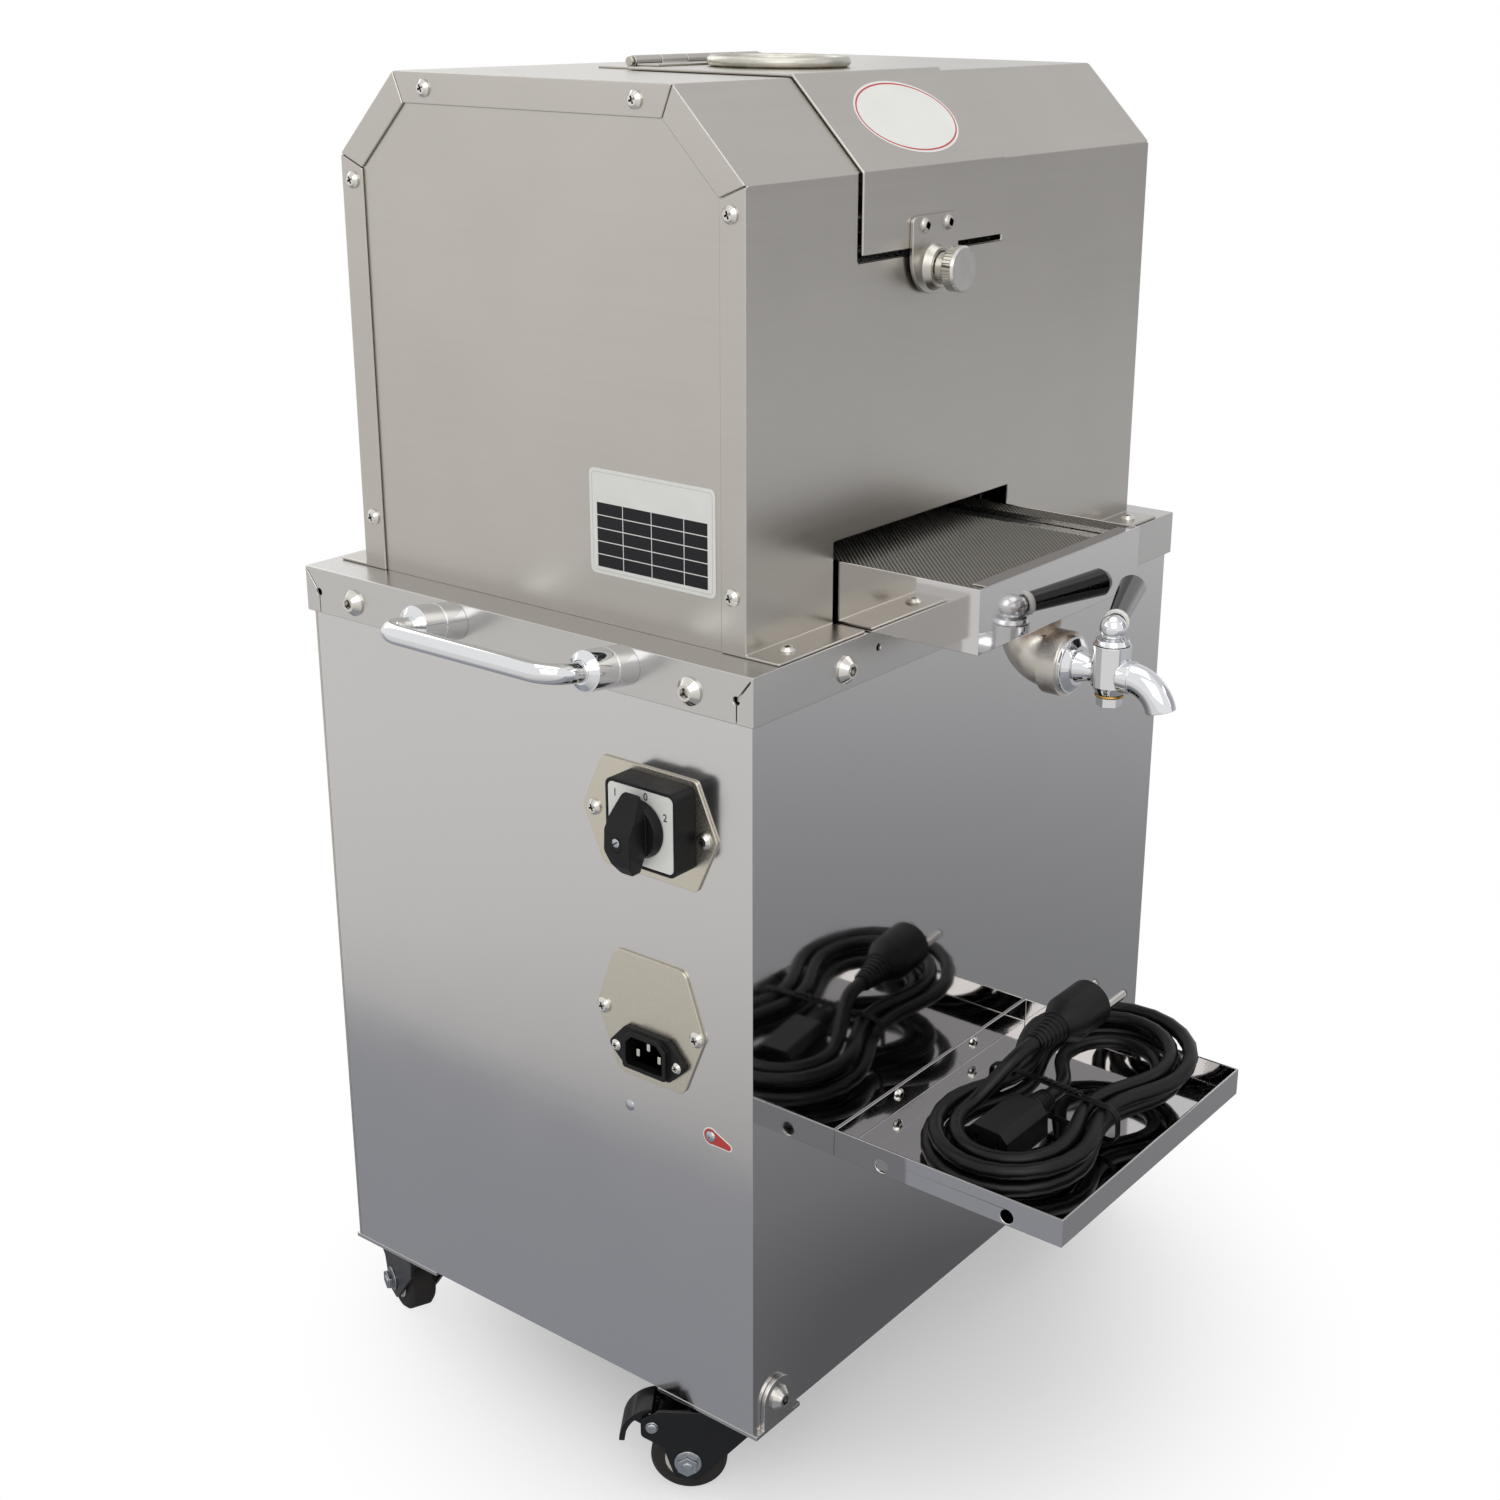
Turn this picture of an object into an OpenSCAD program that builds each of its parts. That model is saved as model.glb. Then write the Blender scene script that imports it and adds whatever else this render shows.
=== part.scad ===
// Electric sugarcane juicer on a caster cabinet: folded sheet housing with a hinged feed lid,
// three-roller mill with gear and chain drive, sliding juice pan with a tap, shelf tray and power cord.
// Millimetres. +Z is up, the front faces -Y, and the floor is at z = 0.

/* [Cabinet] */
// Width of the worktop, side to side
top_w = 400; // [392:1:440]
// Depth of the worktop, front to back
top_d = 306; // [304:1:330]
// Height of the worktop's folded lip
lip_h = 24.5; // [23:0.5:34]
// Height of the cabinet walls
cab_h = 412.5; // [390:0.5:460]
// Thickness of the cabinet and housing sheet
sheet = 1.5; // [1.2:0.1:2]
// Gap between the worktop's lip and the cabinet wall
lip_gap = 1; // [0.5:0.1:1.5]
// Thickness of the cabinet's base plate
base_t = 3; // [2:0.5:5]

/* [Housing] */
// Width of the mill housing
hs_w = 360; // [340:1:372]
// Depth of the mill housing, front sheet to rear sheet
hs_d = 260; // [252:1:262]
// Height of the mill housing above the worktop
hs_h = 254.5; // [250:0.5:275]
// Depth of the 45 degree corner folds
hs_fold = 41; // [36:1:46]
// Offset of the housing's middle from the worktop's middle, front is minus
hs_y = -2.8; // [-4:0.1:0]
// Width of the housing's side flanges
flange_w = 15; // [12:0.5:18]
// Width of the foot flanges on the worktop
foot_w = 19.5; // [16:0.5:20]

/* [Mill] */
// Middle of the mill, lid, pan and tap, from the cabinet's middle
head_x = -34; // [-38:1:-30]
// Feed line, from the cabinet's middle
feed_y = -37; // [-40:1:-34]
// Height of the top roller's axis above the worktop
mill_z = 150; // [147:1:153]
// Roller diameter
roller_d = 62; // [58:0.5:63]
// Diameter of the roller shafts
shaft_d = 25; // [22:0.5:28]
// Gear module
gear_m = 4; // [4:0.05:4.1]
// Thickness of the cheek plates
cheek_t = 12; // [10:1:14]
// Face width of the gears
gear_w = 20; // [16:1:22]
// Chain pitch
chain_p = 19.05; // [18:0.05:19.05]

/* [Lid and feed tube] */
// Width of the feed lid
lid_w = 122; // [116:1:126]
// Bore of the feed tube
feed_bore = 62; // [50:1:64]
// Height of the lid's front edge above the worktop
lid_low = 176; // [172:1:184]
// Hinge axis, from the cabinet's middle
hinge_y = 17; // [14:1:20]
// Travel of the latch screw
latch_travel = 4; // [3:0.5:5]

/* [Juice pan and tap] */
// Width of the juice pan
pan_w = 152; // [146:1:156]
// Height of the juice pan
pan_h = 32; // [29:0.5:36]
// Front face of the juice pan, from the cabinet's middle
pan_front = -215; // [-220:1:-210]
// Length of the juice pan
pan_len = 290; // [286:1:296]
// Tap barrel diameter
barrel_d = 19; // [17:0.5:21]
// Length of the tap's lever
lever_len = 62; // [56:1:64]

/* [Shelf tray] */
// Width of the shelf tray
tray_w = 188; // [186:1:200]
// Depth of the shelf tray
tray_d = 137; // [136:1:142]
// Height of the shelf tray's walls
tray_h = 15.3; // [14.5:0.1:15.8]
// Height of the tray's underside above the floor
tray_z = 189.5; // [180:0.5:200]

/* [Handles and controls] */
// Distance between a handle's posts
handle_span = 115; // [100:1:130]
// Reach of the handle bar from the lip
handle_out = 50; // [46:1:60]
// Diameter of the handle bar
handle_d = 10; // [8:0.5:12]
// Width of the square switch body
switch_w = 44; // [40:1:46]
// Reach of the switch body from its plate
switch_out = 15; // [12:0.5:18]
// Distance between the inlet's two screws
inlet_pitch = 40; // [38:0.5:42]

/* [Casters] */
// Height of the cabinet's underside above the floor
caster_h = 56; // [56:0.5:64]
// Wheel diameter
wheel_d = 41; // [38:0.5:42]
// Wheel width
wheel_w = 17; // [14:0.5:18]
// Trail of the wheel behind the swivel axis
trail = 20; // [19:0.5:21]

/* [Power cord] */
// Cord diameter
cord_d = 8.4; // [7:0.1:8.6]

/* [Hidden] */
$fn = 48;
// Running clearance, per side, of a shaft in its bore
run_fit = 0.05;
// Clearance between separate sheets and guides
slip = 0.4;
// Hair gap between pieces that sit on each other and move
hair = 0.3;

cab_w = top_w - 2 * (sheet + lip_gap);
cab_d = top_d - 2 * (sheet + lip_gap);
tz = caster_h + cab_h + sheet;
side_x = cab_w / 2;
front_y = -cab_d / 2;
rear_y = cab_d / 2;
base_top = caster_h + base_t;

hs_front = hs_y - hs_d / 2;
hs_rear = hs_y + hs_d / 2;
hs_side = hs_w / 2;
// Shift of a corner point for each millimetre of offset at a 45 degree fold
fold_k = sqrt(2) - 1;

gear_teeth = 16;
gear_pd = gear_m * gear_teeth;
top_roller = [feed_y + gear_pd / 2, mill_z];
feed_roller = [feed_y - gear_pd / 2, mill_z];
discharge_angle = -45;
discharge_roller = top_roller + gear_pd * [cos(discharge_angle), sin(discharge_angle)];
pan_side_gap = 4;
cheek_in = pan_w + 2 * pan_side_gap;
cheek_l = head_x - cheek_in / 2;
cheek_r = head_x + cheek_in / 2;
roller_end_gap = 1;
bush_flange = 3;
bush_wall = 5.5;
bush_d = shaft_d + 2 * (run_fit + bush_wall);
gear_x = cheek_r + cheek_t + bush_flange + 1;
chain_teeth = 12;
chain_n = 24;
chain_r = chain_p / (2 * sin(180 / chain_teeth));
sprocket_w = 5;
sprocket_x = gear_x + gear_w + 13.5;
chain_mid = sprocket_x + sprocket_w / 2;
chain_side = 11.5;
shaft_end = chain_mid + chain_side + 2;
motor_z = tz + mill_z - chain_n * chain_p;

lid_t = sheet;
lid_gap = 1.5;
lid_drop = 3;
lid_rear = hinge_y - 7;
tube_wall = 2;
tube_d = feed_bore + 2 * tube_wall;
tube_clear = 23.5;
tube_drop = hs_h - mill_z - roller_d / 2 - tube_clear;
rim_d = 5.2;
knuckle_r = 2.8;
pin_d = 2.8;
hinge_len = 100;
hinge_knuckles = 5;
hinge_z = tz + hs_h + hair + lid_t + knuckle_r - 0.6;
leaf_t = 1.2;
leaf_w = 20;
latch_x = head_x - 3;
latch_z = tz + lid_low - 10;
latch_w = 39.5;
latch_t = 2;
latch_back = hs_front - hair - lid_t;
thumb_d = 6;
ferrule_len = 4;
collar_screw_d = 15;

pan_t = 1.2;
pan_z = tz + slip;
pan_gap = 2.5;
pan_door_h = pan_h + 10;
elbow_y = pan_front + 19;
elbow_r = 15;
elbow_d = 28;
band_d = 33;
elbow_z = pan_z - 7 - elbow_r;
tap_face = elbow_y - elbow_r - 10;
barrel_y = tap_face - 23;
barrel_h = 25;
barrel_top = elbow_z + 15;
plug_d = 10;
ball_d = 13.4;
ball_z = barrel_top + 8;
lever_yaw = 20;
lever_pitch = 4.5;
spout_r = 18;
spout_d = 15;
strainer_top = pan_h - 7;

tray_x = head_x - 2;
tray_t = 1.2;

stem_x = side_x - 18.5;
stem_y = rear_y - 32.5;
stem_d = 8;
plate_t = 2.5;
crown_z = caster_h - plate_t - 1.2;
fork_t = 2;
fork_in = wheel_w / 2 + 1.8;
axle_d = 6;
pedal_pivot = [trail + 19, wheel_d / 2 + 22];
pedal_r = 21;
// Corner signs, at-rest swivel angle of each caster: front left, front right, rear left, rear right
caster_signs = [[-1, -1], [1, -1], [-1, 1], [1, 1]];
caster_yaw = [35, 0, -23, 0];
pedal_reach = pedal_pivot[0] - 3 + pedal_r;

tray_front = front_y - tray_d;
// The origin is below the middle of the whole object
shift_y = -(tray_front + stem_y + pedal_reach) / 2;

// Places of the pan-head and button-head screws
pan_head_d = 8.4;
button_d = 14;
button_h = 4.4;
flange_mid = flange_w / 2 + 0.8;
lip_screw_z = tz - 14;
bracket_tab_z = caster_h + 14;

// Shared shapes

module place() translate([0, shift_y, 0]) children();

// A box between two corners
module span_box(low, high) translate(low) cube(high - low);

// A (y, z) outline pushed along X from x0
module along_x(x0, len) translate([x0, 0, 0]) rotate([90, 0, 90]) linear_extrude(len) children();

// An (x, z) outline pushed along +Y from y0
module along_y(y0, len) translate([0, y0 + len, 0]) rotate([90, 0, 0]) linear_extrude(len) children();

module x_rod(d, x0, x1) translate([x0, 0, 0]) rotate([0, 90, 0]) cylinder(d = d, h = x1 - x0);

module y_rod(d, y0, y1) translate([0, y0, 0]) rotate([-90, 0, 0]) cylinder(d = d, h = y1 - y0);

module round_rect(w, h, r) {
    square([w - 2 * r, h], center = true);
    square([w, h - 2 * r], center = true);
    for (sx = [-1, 1], sy = [-1, 1])
        translate([sx * (w / 2 - r), sy * (h / 2 - r)]) circle(r);
}

// Outline with each corner of pts rounded by n short steps
function corner_arc(a, b, c, r, n) =
    let (
        u = (a - b) / norm(a - b),
        v = (c - b) / norm(c - b),
        half = acos(u * v) / 2,
        reach = r / tan(half),
        mid = b + (u + v) / norm(u + v) * (r / sin(half)),
        p0 = b + u * reach - mid,
        p1 = b + v * reach - mid,
        sweep = 180 - 2 * half,
        turn = sign(p0[0] * p1[1] - p0[1] * p1[0])
    )
    [for (i = [0:n]) mid + [p0[0] * cos(turn * sweep * i / n) - p0[1] * sin(turn * sweep * i / n),
                            p0[0] * sin(turn * sweep * i / n) + p0[1] * cos(turn * sweep * i / n)]];

function round_path(pts, r, n = 4) =
    let (count = len(pts))
    [for (i = [0:count - 1],
            p = corner_arc(pts[(i + count - 1) % count], pts[i], pts[(i + 1) % count], r, n)) p];

// Folded outline of the housing, offset inwards by o: (y, z above the worktop)
function housing_path(o) = [
    [hs_front + o, 0],
    [hs_front + o, hs_h - hs_fold - fold_k * o],
    [hs_front + hs_fold + fold_k * o, hs_h - o],
    [hs_rear - hs_fold - fold_k * o, hs_h - o],
    [hs_rear - o, hs_h - hs_fold - fold_k * o],
    [hs_rear - o, 0]];

// Cross-recess pan head, standing along +Z
module pan_head(d = pan_head_d) {
    recess = 0.22 * d;
    difference() {
        union() {
            cylinder(d = d, h = 0.1 * d);
            translate([0, 0, 0.1 * d]) cylinder(d1 = d, d2 = 0.62 * d, h = 0.18 * d);
        }
        for (a = [0, 90])
            rotate(a + 20) translate([-recess, -0.06 * d, 0.16 * d]) cube([2 * recess, 0.12 * d, d]);
    }
}

// Hex-socket button head, standing along +Z
module button_head() {
    difference() {
        union() {
            cylinder(d = button_d, h = 1);
            translate([0, 0, 1]) cylinder(d1 = button_d, d2 = 0.56 * button_d, h = button_h - 1);
        }
        translate([0, 0, 1.8]) cylinder(d = 5.6, h = button_h, $fn = 6);
    }
}

// Turn a shape that stands along +Z to stand out of a wall
module out_left() rotate([0, -90, 0]) children();
module out_right() rotate([0, 90, 0]) children();
module out_front() rotate([90, 0, 0]) children();
module out_rear() rotate([-90, 0, 0]) children();

// Cabinet

switch_mid = [-95.5, tz - 83];
switch_plate_mid = [-87.5, tz - 87.5];
inlet_plate_mid = [-86, tz - 195];
inlet_mid = [-86, tz - 212];
inlet_cut = [29, 21.5];

module cabinet_shell() color("silver") place() {
    return_w = 16;
    difference() {
        union() {
            difference() {
                span_box([-side_x, front_y, caster_h], [side_x, rear_y - sheet, tz - sheet]);
                span_box([-side_x + sheet, front_y + sheet, caster_h - 1], [side_x - sheet, rear_y, tz]);
            }
            for (s = [-1, 1])
                span_box([s > 0 ? side_x - sheet - return_w : -side_x + sheet, rear_y - 2 * sheet,
                        caster_h],
                         [s > 0 ? side_x - sheet : -side_x + sheet + return_w, rear_y - sheet, tz - sheet]);
        }
        translate([-side_x - 1, switch_mid[0], switch_mid[1]]) x_rod(26, 0, sheet + 2);
        span_box([-side_x - 1, inlet_mid[0] - inlet_cut[0] / 2, inlet_mid[1] - inlet_cut[1] / 2],
                 [-side_x + sheet + 1, inlet_mid[0] + inlet_cut[0] / 2, inlet_mid[1] + inlet_cut[1] / 2]);
    }
}

module back_panel() color("silver") place() {
    slot = [70, 5];
    difference() {
        span_box([-side_x, rear_y - sheet, caster_h], [side_x, rear_y, tz - sheet]);
        for (sx = [-1, 1], row = [0:6])
            translate([sx * 80, rear_y - sheet - 1, caster_h + 90 + row * 14])
                along_y(0, sheet + 2) round_rect(slot[0], slot[1], slot[1] / 2 - 0.01);
    }
}

plinth = [96, 150];
gearbox_axis = 80;

module base_plate() color("gray") place() {
    edge = sheet + slip;
    vent = [0.6 * side_x, 8];
    vent_x = -0.557 * side_x;
    difference() {
        span_box([-side_x + edge, front_y + edge, caster_h],
                [side_x - edge, rear_y - 2 * sheet - slip, base_top]);
        for (row = [-2:2])
            translate([vent_x, row * 24, caster_h - 1]) linear_extrude(base_t + 2)
                round_rect(vent[0], vent[1], vent[1] / 2 - 0.01);
    }
    // Welded riser that carries the gearbox
    difference() {
        span_box([gearbox_x - 10, top_roller[0] - plinth[1] / 2, base_top],
                 [gearbox_x - 10 + plinth[0], top_roller[0] + plinth[1] / 2, motor_z - gearbox_axis]);
        span_box([gearbox_x - 11, top_roller[0] - plinth[1] / 2 + 4, base_top - 1],
                 [gearbox_x - 9 + plinth[0], top_roller[0] + plinth[1] / 2 - 4,
                         motor_z - gearbox_axis - 4]);
    }
}

module worktop() color("silver") place() {
    seam = 0.6;
    relief_d = 4;
    relief = [top_d / 2 - 10, tz - 13];
    lip_hole = [98, 9.5];
    difference() {
        span_box([-top_w / 2, -top_d / 2, tz - lip_h], [top_w / 2, top_d / 2, tz]);
        span_box([-top_w / 2 + sheet, -top_d / 2 + sheet, tz - lip_h - 1],
                [top_w / 2 - sheet, top_d / 2 - sheet, tz - sheet]);
        // Small hole in the front lip
        translate([-top_w / 2 + lip_hole[0], -top_d / 2 - 0.5, tz - lip_hole[1]]) y_rod(3.5, 0, sheet + 1);
        // Chain passage
        span_box([chain_mid - chain_side - 5, top_roller[0] - chain_r - 14, tz - sheet - 1],
                 [chain_mid + chain_side + 5, top_roller[0] + chain_r + 14, tz + 1]);
        // Corner seams of the folded lip, each with a relief hole
        for (sx = [-1, 1], sy = [-1, 1]) {
            x0 = sx > 0 ? top_w / 2 - sheet - 0.5 : -top_w / 2 - 0.5;
            translate([x0, sy * relief[0], relief[1]]) x_rod(relief_d, 0, sheet + 1);
            span_box([x0, sy * relief[0] - seam / 2, tz - lip_h - 1],
                    [x0 + sheet + 1, sy * relief[0] + seam / 2, relief[1]]);
            translate([x0, sy * relief[0], relief[1]]) rotate([sy > 0 ? 52 : 128, 0, 0])
                translate([0, 0, -seam / 2]) cube([sheet + 1, 13.5, seam]);
        }
    }
}

// Heads on the lip (two a side) and on the corner brackets
module button_screws() color("whitesmoke") place() {
    lip_side = top_d / 2 - 37.5;
    lip_front = top_w / 2 - 71;
    for (sy = [-1, 1]) {
        translate([-top_w / 2, sy * lip_side, lip_screw_z]) out_left() button_head();
        translate([top_w / 2, sy * lip_side, lip_screw_z]) out_right() button_head();
    }
    for (sx = [-1, 1]) {
        translate([sx * lip_front, -top_d / 2, lip_screw_z]) out_front() button_head();
        translate([sx * lip_front, top_d / 2, lip_screw_z]) out_rear() button_head();
        translate([sx * stem_x, front_y - plate_t, bracket_tab_z]) out_front() button_head();
        translate([sx * stem_x, rear_y + plate_t, bracket_tab_z]) out_rear() button_head();
    }
}

// Bent caster plates: a tab up the wall, a leg under the base, and the swivel stem
module corner_brackets() color("dimgray") place() {
    tab_w = 24;
    leg_w = 37;
    leg_len = 68;
    for (sx = [-1, 1], sy = [-1, 1]) {
        translate([sx * stem_x, 0, 0]) mirror([0, sy > 0 ? 1 : 0, 0]) {
            span_box([-leg_w / 2, front_y - plate_t, caster_h - plate_t],
                    [leg_w / 2, front_y - plate_t + leg_len, caster_h]);
            along_y(front_y - plate_t, plate_t) {
                translate([-tab_w / 2, caster_h - plate_t])
                        square([tab_w, bracket_tab_z - caster_h + plate_t]);
                translate([0, bracket_tab_z]) circle(d = tab_w);
            }
            translate([0, -stem_y, crown_z - 6]) {
                cylinder(d = stem_d, h = caster_h - plate_t - crown_z + 6);
                cylinder(d = stem_d + 5, h = 1.7);
            }
        }
    }
}

// Mill housing

lid_open_half = lid_w / 2 - 7;
pan_door_half = pan_w / 2 + pan_gap;
outlet_low = 74;
outlet_high = 138;
outlet_half = 62;
latch_hole_d = thumb_d + 2;

module housing_wrap() color("tan") place() translate([0, 0, tz]) {
    slit = 0.5;
    difference() {
        union() {
            difference() {
                along_x(-hs_side, hs_w) polygon(housing_path(0));
                along_x(-hs_side + sheet, hs_w - 2 * sheet) polygon(concat([[hs_front + sheet, -1]],
                    [for (p = [1:4]) housing_path(sheet)[p]], [[hs_rear - sheet, -1]]));
                along_x(-hs_side - 1, hs_w + 2) polygon(concat([[hs_front + flange_w, -1]],
                    [for (p = [1:4]) housing_path(flange_w)[p]], [[hs_rear - flange_w, -1]]));
            }
            span_box([-hs_side, hs_front - foot_w, 0], [hs_side, hs_front + sheet, sheet]);
            span_box([-hs_side, hs_rear - sheet, 0], [hs_side, hs_rear + foot_w, sheet]);
        }
        // Mitred corners of the side flanges
        for (sx = [-1, 1], p = [1:4]) {
            corner = housing_path(0)[p];
            inner = housing_path(flange_w)[p];
            angle = atan2(inner[1] - corner[1], inner[0] - corner[0]);
            translate([sx > 0 ? hs_side - sheet - 0.01 : -hs_side - 1, corner[0], corner[1]])
                    rotate([angle, 0, 0])
                translate([0, -1, -slit / 2]) cube([sheet + 1.01, norm(inner - corner) + 2, slit]);
        }
        // Door for the juice pan
        span_box([head_x - pan_door_half, hs_front - foot_w - 1, -1],
                [head_x + pan_door_half, hs_front + sheet + 1, pan_door_h]);
        // Feed opening under the lid, wider where the lid's front edge hangs in the front sheet
        span_box([head_x - lid_open_half, hs_front - 1, lid_low + 8],
                [head_x + lid_open_half, hinge_y - 14, hs_h + 1]);
        span_box([head_x - lid_w / 2 - lid_gap, hs_front - 1, lid_low - lid_drop],
                 [head_x + lid_w / 2 + lid_gap, hs_front + sheet + 0.5, hs_h - hs_fold]);
        translate([latch_x, hs_front - 1, latch_z - tz]) y_rod(latch_hole_d, 0, sheet + 2);
        // Bagasse outlet in the rear sheet
        span_box([head_x - outlet_half, hs_rear - sheet - 1, outlet_low],
                [head_x + outlet_half, hs_rear + 1, outlet_high]);
    }
}

module side_plate(x0) place() translate([0, 0, tz]) {
    o = sheet + 0.3;
    along_x(x0, sheet) polygon(concat([[hs_front + o, 0]], [for (p = [1:4]) housing_path(o)[p]],
            [[hs_rear - o, 0]]));
}

module side_plate_left() color("lightgray") side_plate(-hs_side + sheet);
module side_plate_right() color("lightgray") side_plate(hs_side - 2 * sheet);

module pan_screws() color("whitesmoke") place() {
    // Side flanges
    for (sx = [-1, 1], p = [[hs_front + flange_mid, 28], [hs_front + flange_mid, hs_h - hs_fold - 12.5],
                            [hs_rear - flange_mid, 28], [hs_rear - flange_mid, hs_h - hs_fold - 12.5],
                            [hs_y - 67.5, hs_h - flange_mid + 0.8], [hs_y + 67.5, hs_h - flange_mid + 0.8]])
        translate([sx * hs_side, p[0], tz + p[1]]) rotate([0, sx * 90, 0]) pan_head();
    // Foot flanges
    foot_mid = foot_w / 2 + 0.5;
    for (sx = [-1, 1]) {
        translate([sx * (hs_side - 18), hs_front - foot_mid, tz + sheet]) pan_head();
        translate([sx * (hs_side - 18), hs_rear + foot_mid, tz + sheet]) pan_head();
    }
    // Switch plate, inlet plate and inlet
    for (s = [-1, 1]) {
        translate([-side_x - sheet, switch_plate_mid[0] + s * 35.2, switch_plate_mid[1]]) out_left()
                pan_head();
        translate([-side_x - sheet, inlet_plate_mid[0] + s * 30.6, inlet_plate_mid[1]]) out_left()
                pan_head();
        translate([-side_x - sheet - inlet_flange, inlet_mid[0] + s * inlet_pitch / 2, inlet_mid[1] - 1])
            out_left() pan_head(6);
    }
    // Shelf tray and the hinge's fixed leaf
    for (s = [-1, 1]) {
        translate([tray_x + s * 37, front_y - tray_t, tray_z + tray_h - 4.6]) out_front() pan_head(7);
        translate([head_x + s * 30, hinge_y + 13, tz + hs_h + leaf_t]) pan_head(6.5);
    }
    // Back panel
    for (sx = [-1, 1], z = [caster_h + 45, caster_h + cab_h / 2, tz - lip_h - 25])
        translate([sx * (side_x - 9), rear_y, z]) out_rear() pan_head(7);
}

// Side handles, tilted up a little, each a bent bar on two collars

module side_handle() {
    collar_d = 20;
    collar_len = 14;
    bend = 14;
    tilt = 8;
    drop = 9.5;
    difference() {
        translate([-top_w / 2, -17.5, tz - drop]) rotate([0, tilt, 0]) {
            for (s = [-1, 1]) translate([0, s * handle_span / 2, 0]) {
                x_rod(collar_d, -collar_len + 0.3, 4);
                x_rod(collar_d - 1, -collar_len - 0.3, -collar_len + 0.3);
                x_rod(collar_d, -2 * collar_len, -collar_len - 0.3);
                translate([-2 * collar_len - 3, 0, 0]) rotate([0, 90, 0])
                        cylinder(d1 = handle_d + 2, d2 = collar_d - 1, h = 3);
                x_rod(handle_d, -handle_out + bend, -2 * collar_len - 3);
                translate([-handle_out + bend, -s * bend, 0]) mirror([0, s < 0 ? 1 : 0, 0])
                    rotate([0, 0, 90]) rotate_extrude(angle = 90) translate([bend, 0]) circle(d = handle_d);
            }
            translate([-handle_out, 0, 0]) y_rod(handle_d, -handle_span / 2 + bend, handle_span / 2 - bend);
        }
        span_box([-top_w / 2, -top_d, tz - 60], [-top_w / 2 + 40, top_d, tz + 60]);
    }
}

module side_handles() color("lightsteelblue") place() {
    side_handle();
    mirror([1, 0, 0]) side_handle();
}

// Controls on the left wall

module on_left_wall(mid, out) translate([-side_x - out, mid[0], mid[1]]) rotate([0, -90, 0])
        rotate([0, 0, -90]) children();

module switch_plate() color("khaki") place() {
    half_w = 43;
    half_h = 28.5;
    flat = 30;
    on_left_wall(switch_plate_mid, 0) difference() {
        linear_extrude(sheet) polygon(round_path([[-half_w, 0], [-flat, half_h], [flat, half_h],
                [half_w, 0],
                                                  [flat, -half_h], [-flat, -half_h]], 3));
        translate([switch_plate_mid[0] - switch_mid[0], switch_mid[1] - switch_plate_mid[1], -1])
                cylinder(d = 26, h = sheet + 2);
    }
}

knob_bore = 8;
dial_depth = 0.8;

module switch_body() color("black") place() on_left_wall(switch_mid, sheet) {
    difference() {
        linear_extrude(switch_out) round_rect(switch_w, switch_w - 1.5, 4);
        translate([0, 0, switch_out - dial_depth]) linear_extrude(2)
                round_rect(switch_w - 3, switch_w - 4.5, 3);
        translate([0, 0, switch_out - 8]) cylinder(d = knob_bore + 2 * run_fit, h = 12);
    }
    // Contact block behind the wall
    translate([0, 0, -sheet - sheet - 42]) linear_extrude(42 - slip) round_rect(40, 40, 3);
    translate([0, 0, -2 * sheet - slip]) cylinder(d = 24, h = 2 * sheet + slip);
}

module switch_knob() color("black") place() on_left_wall(switch_mid, sheet + switch_out) {
    skirt = 5;
    translate([0, 0, -7]) cylinder(d = knob_bore, h = 8);
    translate([0, 0, hair]) cylinder(d1 = 30, d2 = 27, h = skirt);
    // Boat-shaped grip: its plan meets its side view
    intersection() {
        translate([0, 0, hair + skirt - 0.5]) linear_extrude(15)
            polygon(round_path([[-5, 19], [5, 19], [8, 8], [8, -9], [4, -21], [-4, -21], [-8, -9],
                    [-8, 8]], 2, 3));
        rotate([90, 0, 90]) linear_extrude(20, center = true)
            polygon(round_path([[-24, 3], [-22, 9], [-15, 14.5], [-7, 17], [3, 16.5], [13, 10.5],
                    [21, 5], [21, 3]], 1.2, 3));
    }
    translate([0, -4, 15.5]) cylinder(d1 = 7, d2 = 6, h = 1.8);
}

module inlet_plate() color("khaki") place() {
    on_left_wall(inlet_plate_mid, 0) difference() {
        linear_extrude(sheet) polygon(round_path([[-35.4, 0], [-23, 34.3], [23, 34.3], [35.4, 0],
                [21.5, -34.3], [-21.5, -34.3]], 6));
        translate([inlet_plate_mid[0] - inlet_mid[0] - inlet_cut[0] / 2,
                inlet_mid[1] - inlet_plate_mid[1] - inlet_cut[1] / 2, -1])
            cube([inlet_cut[0], inlet_cut[1], sheet + 2]);
    }
}

inlet_flange = 3;

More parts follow.
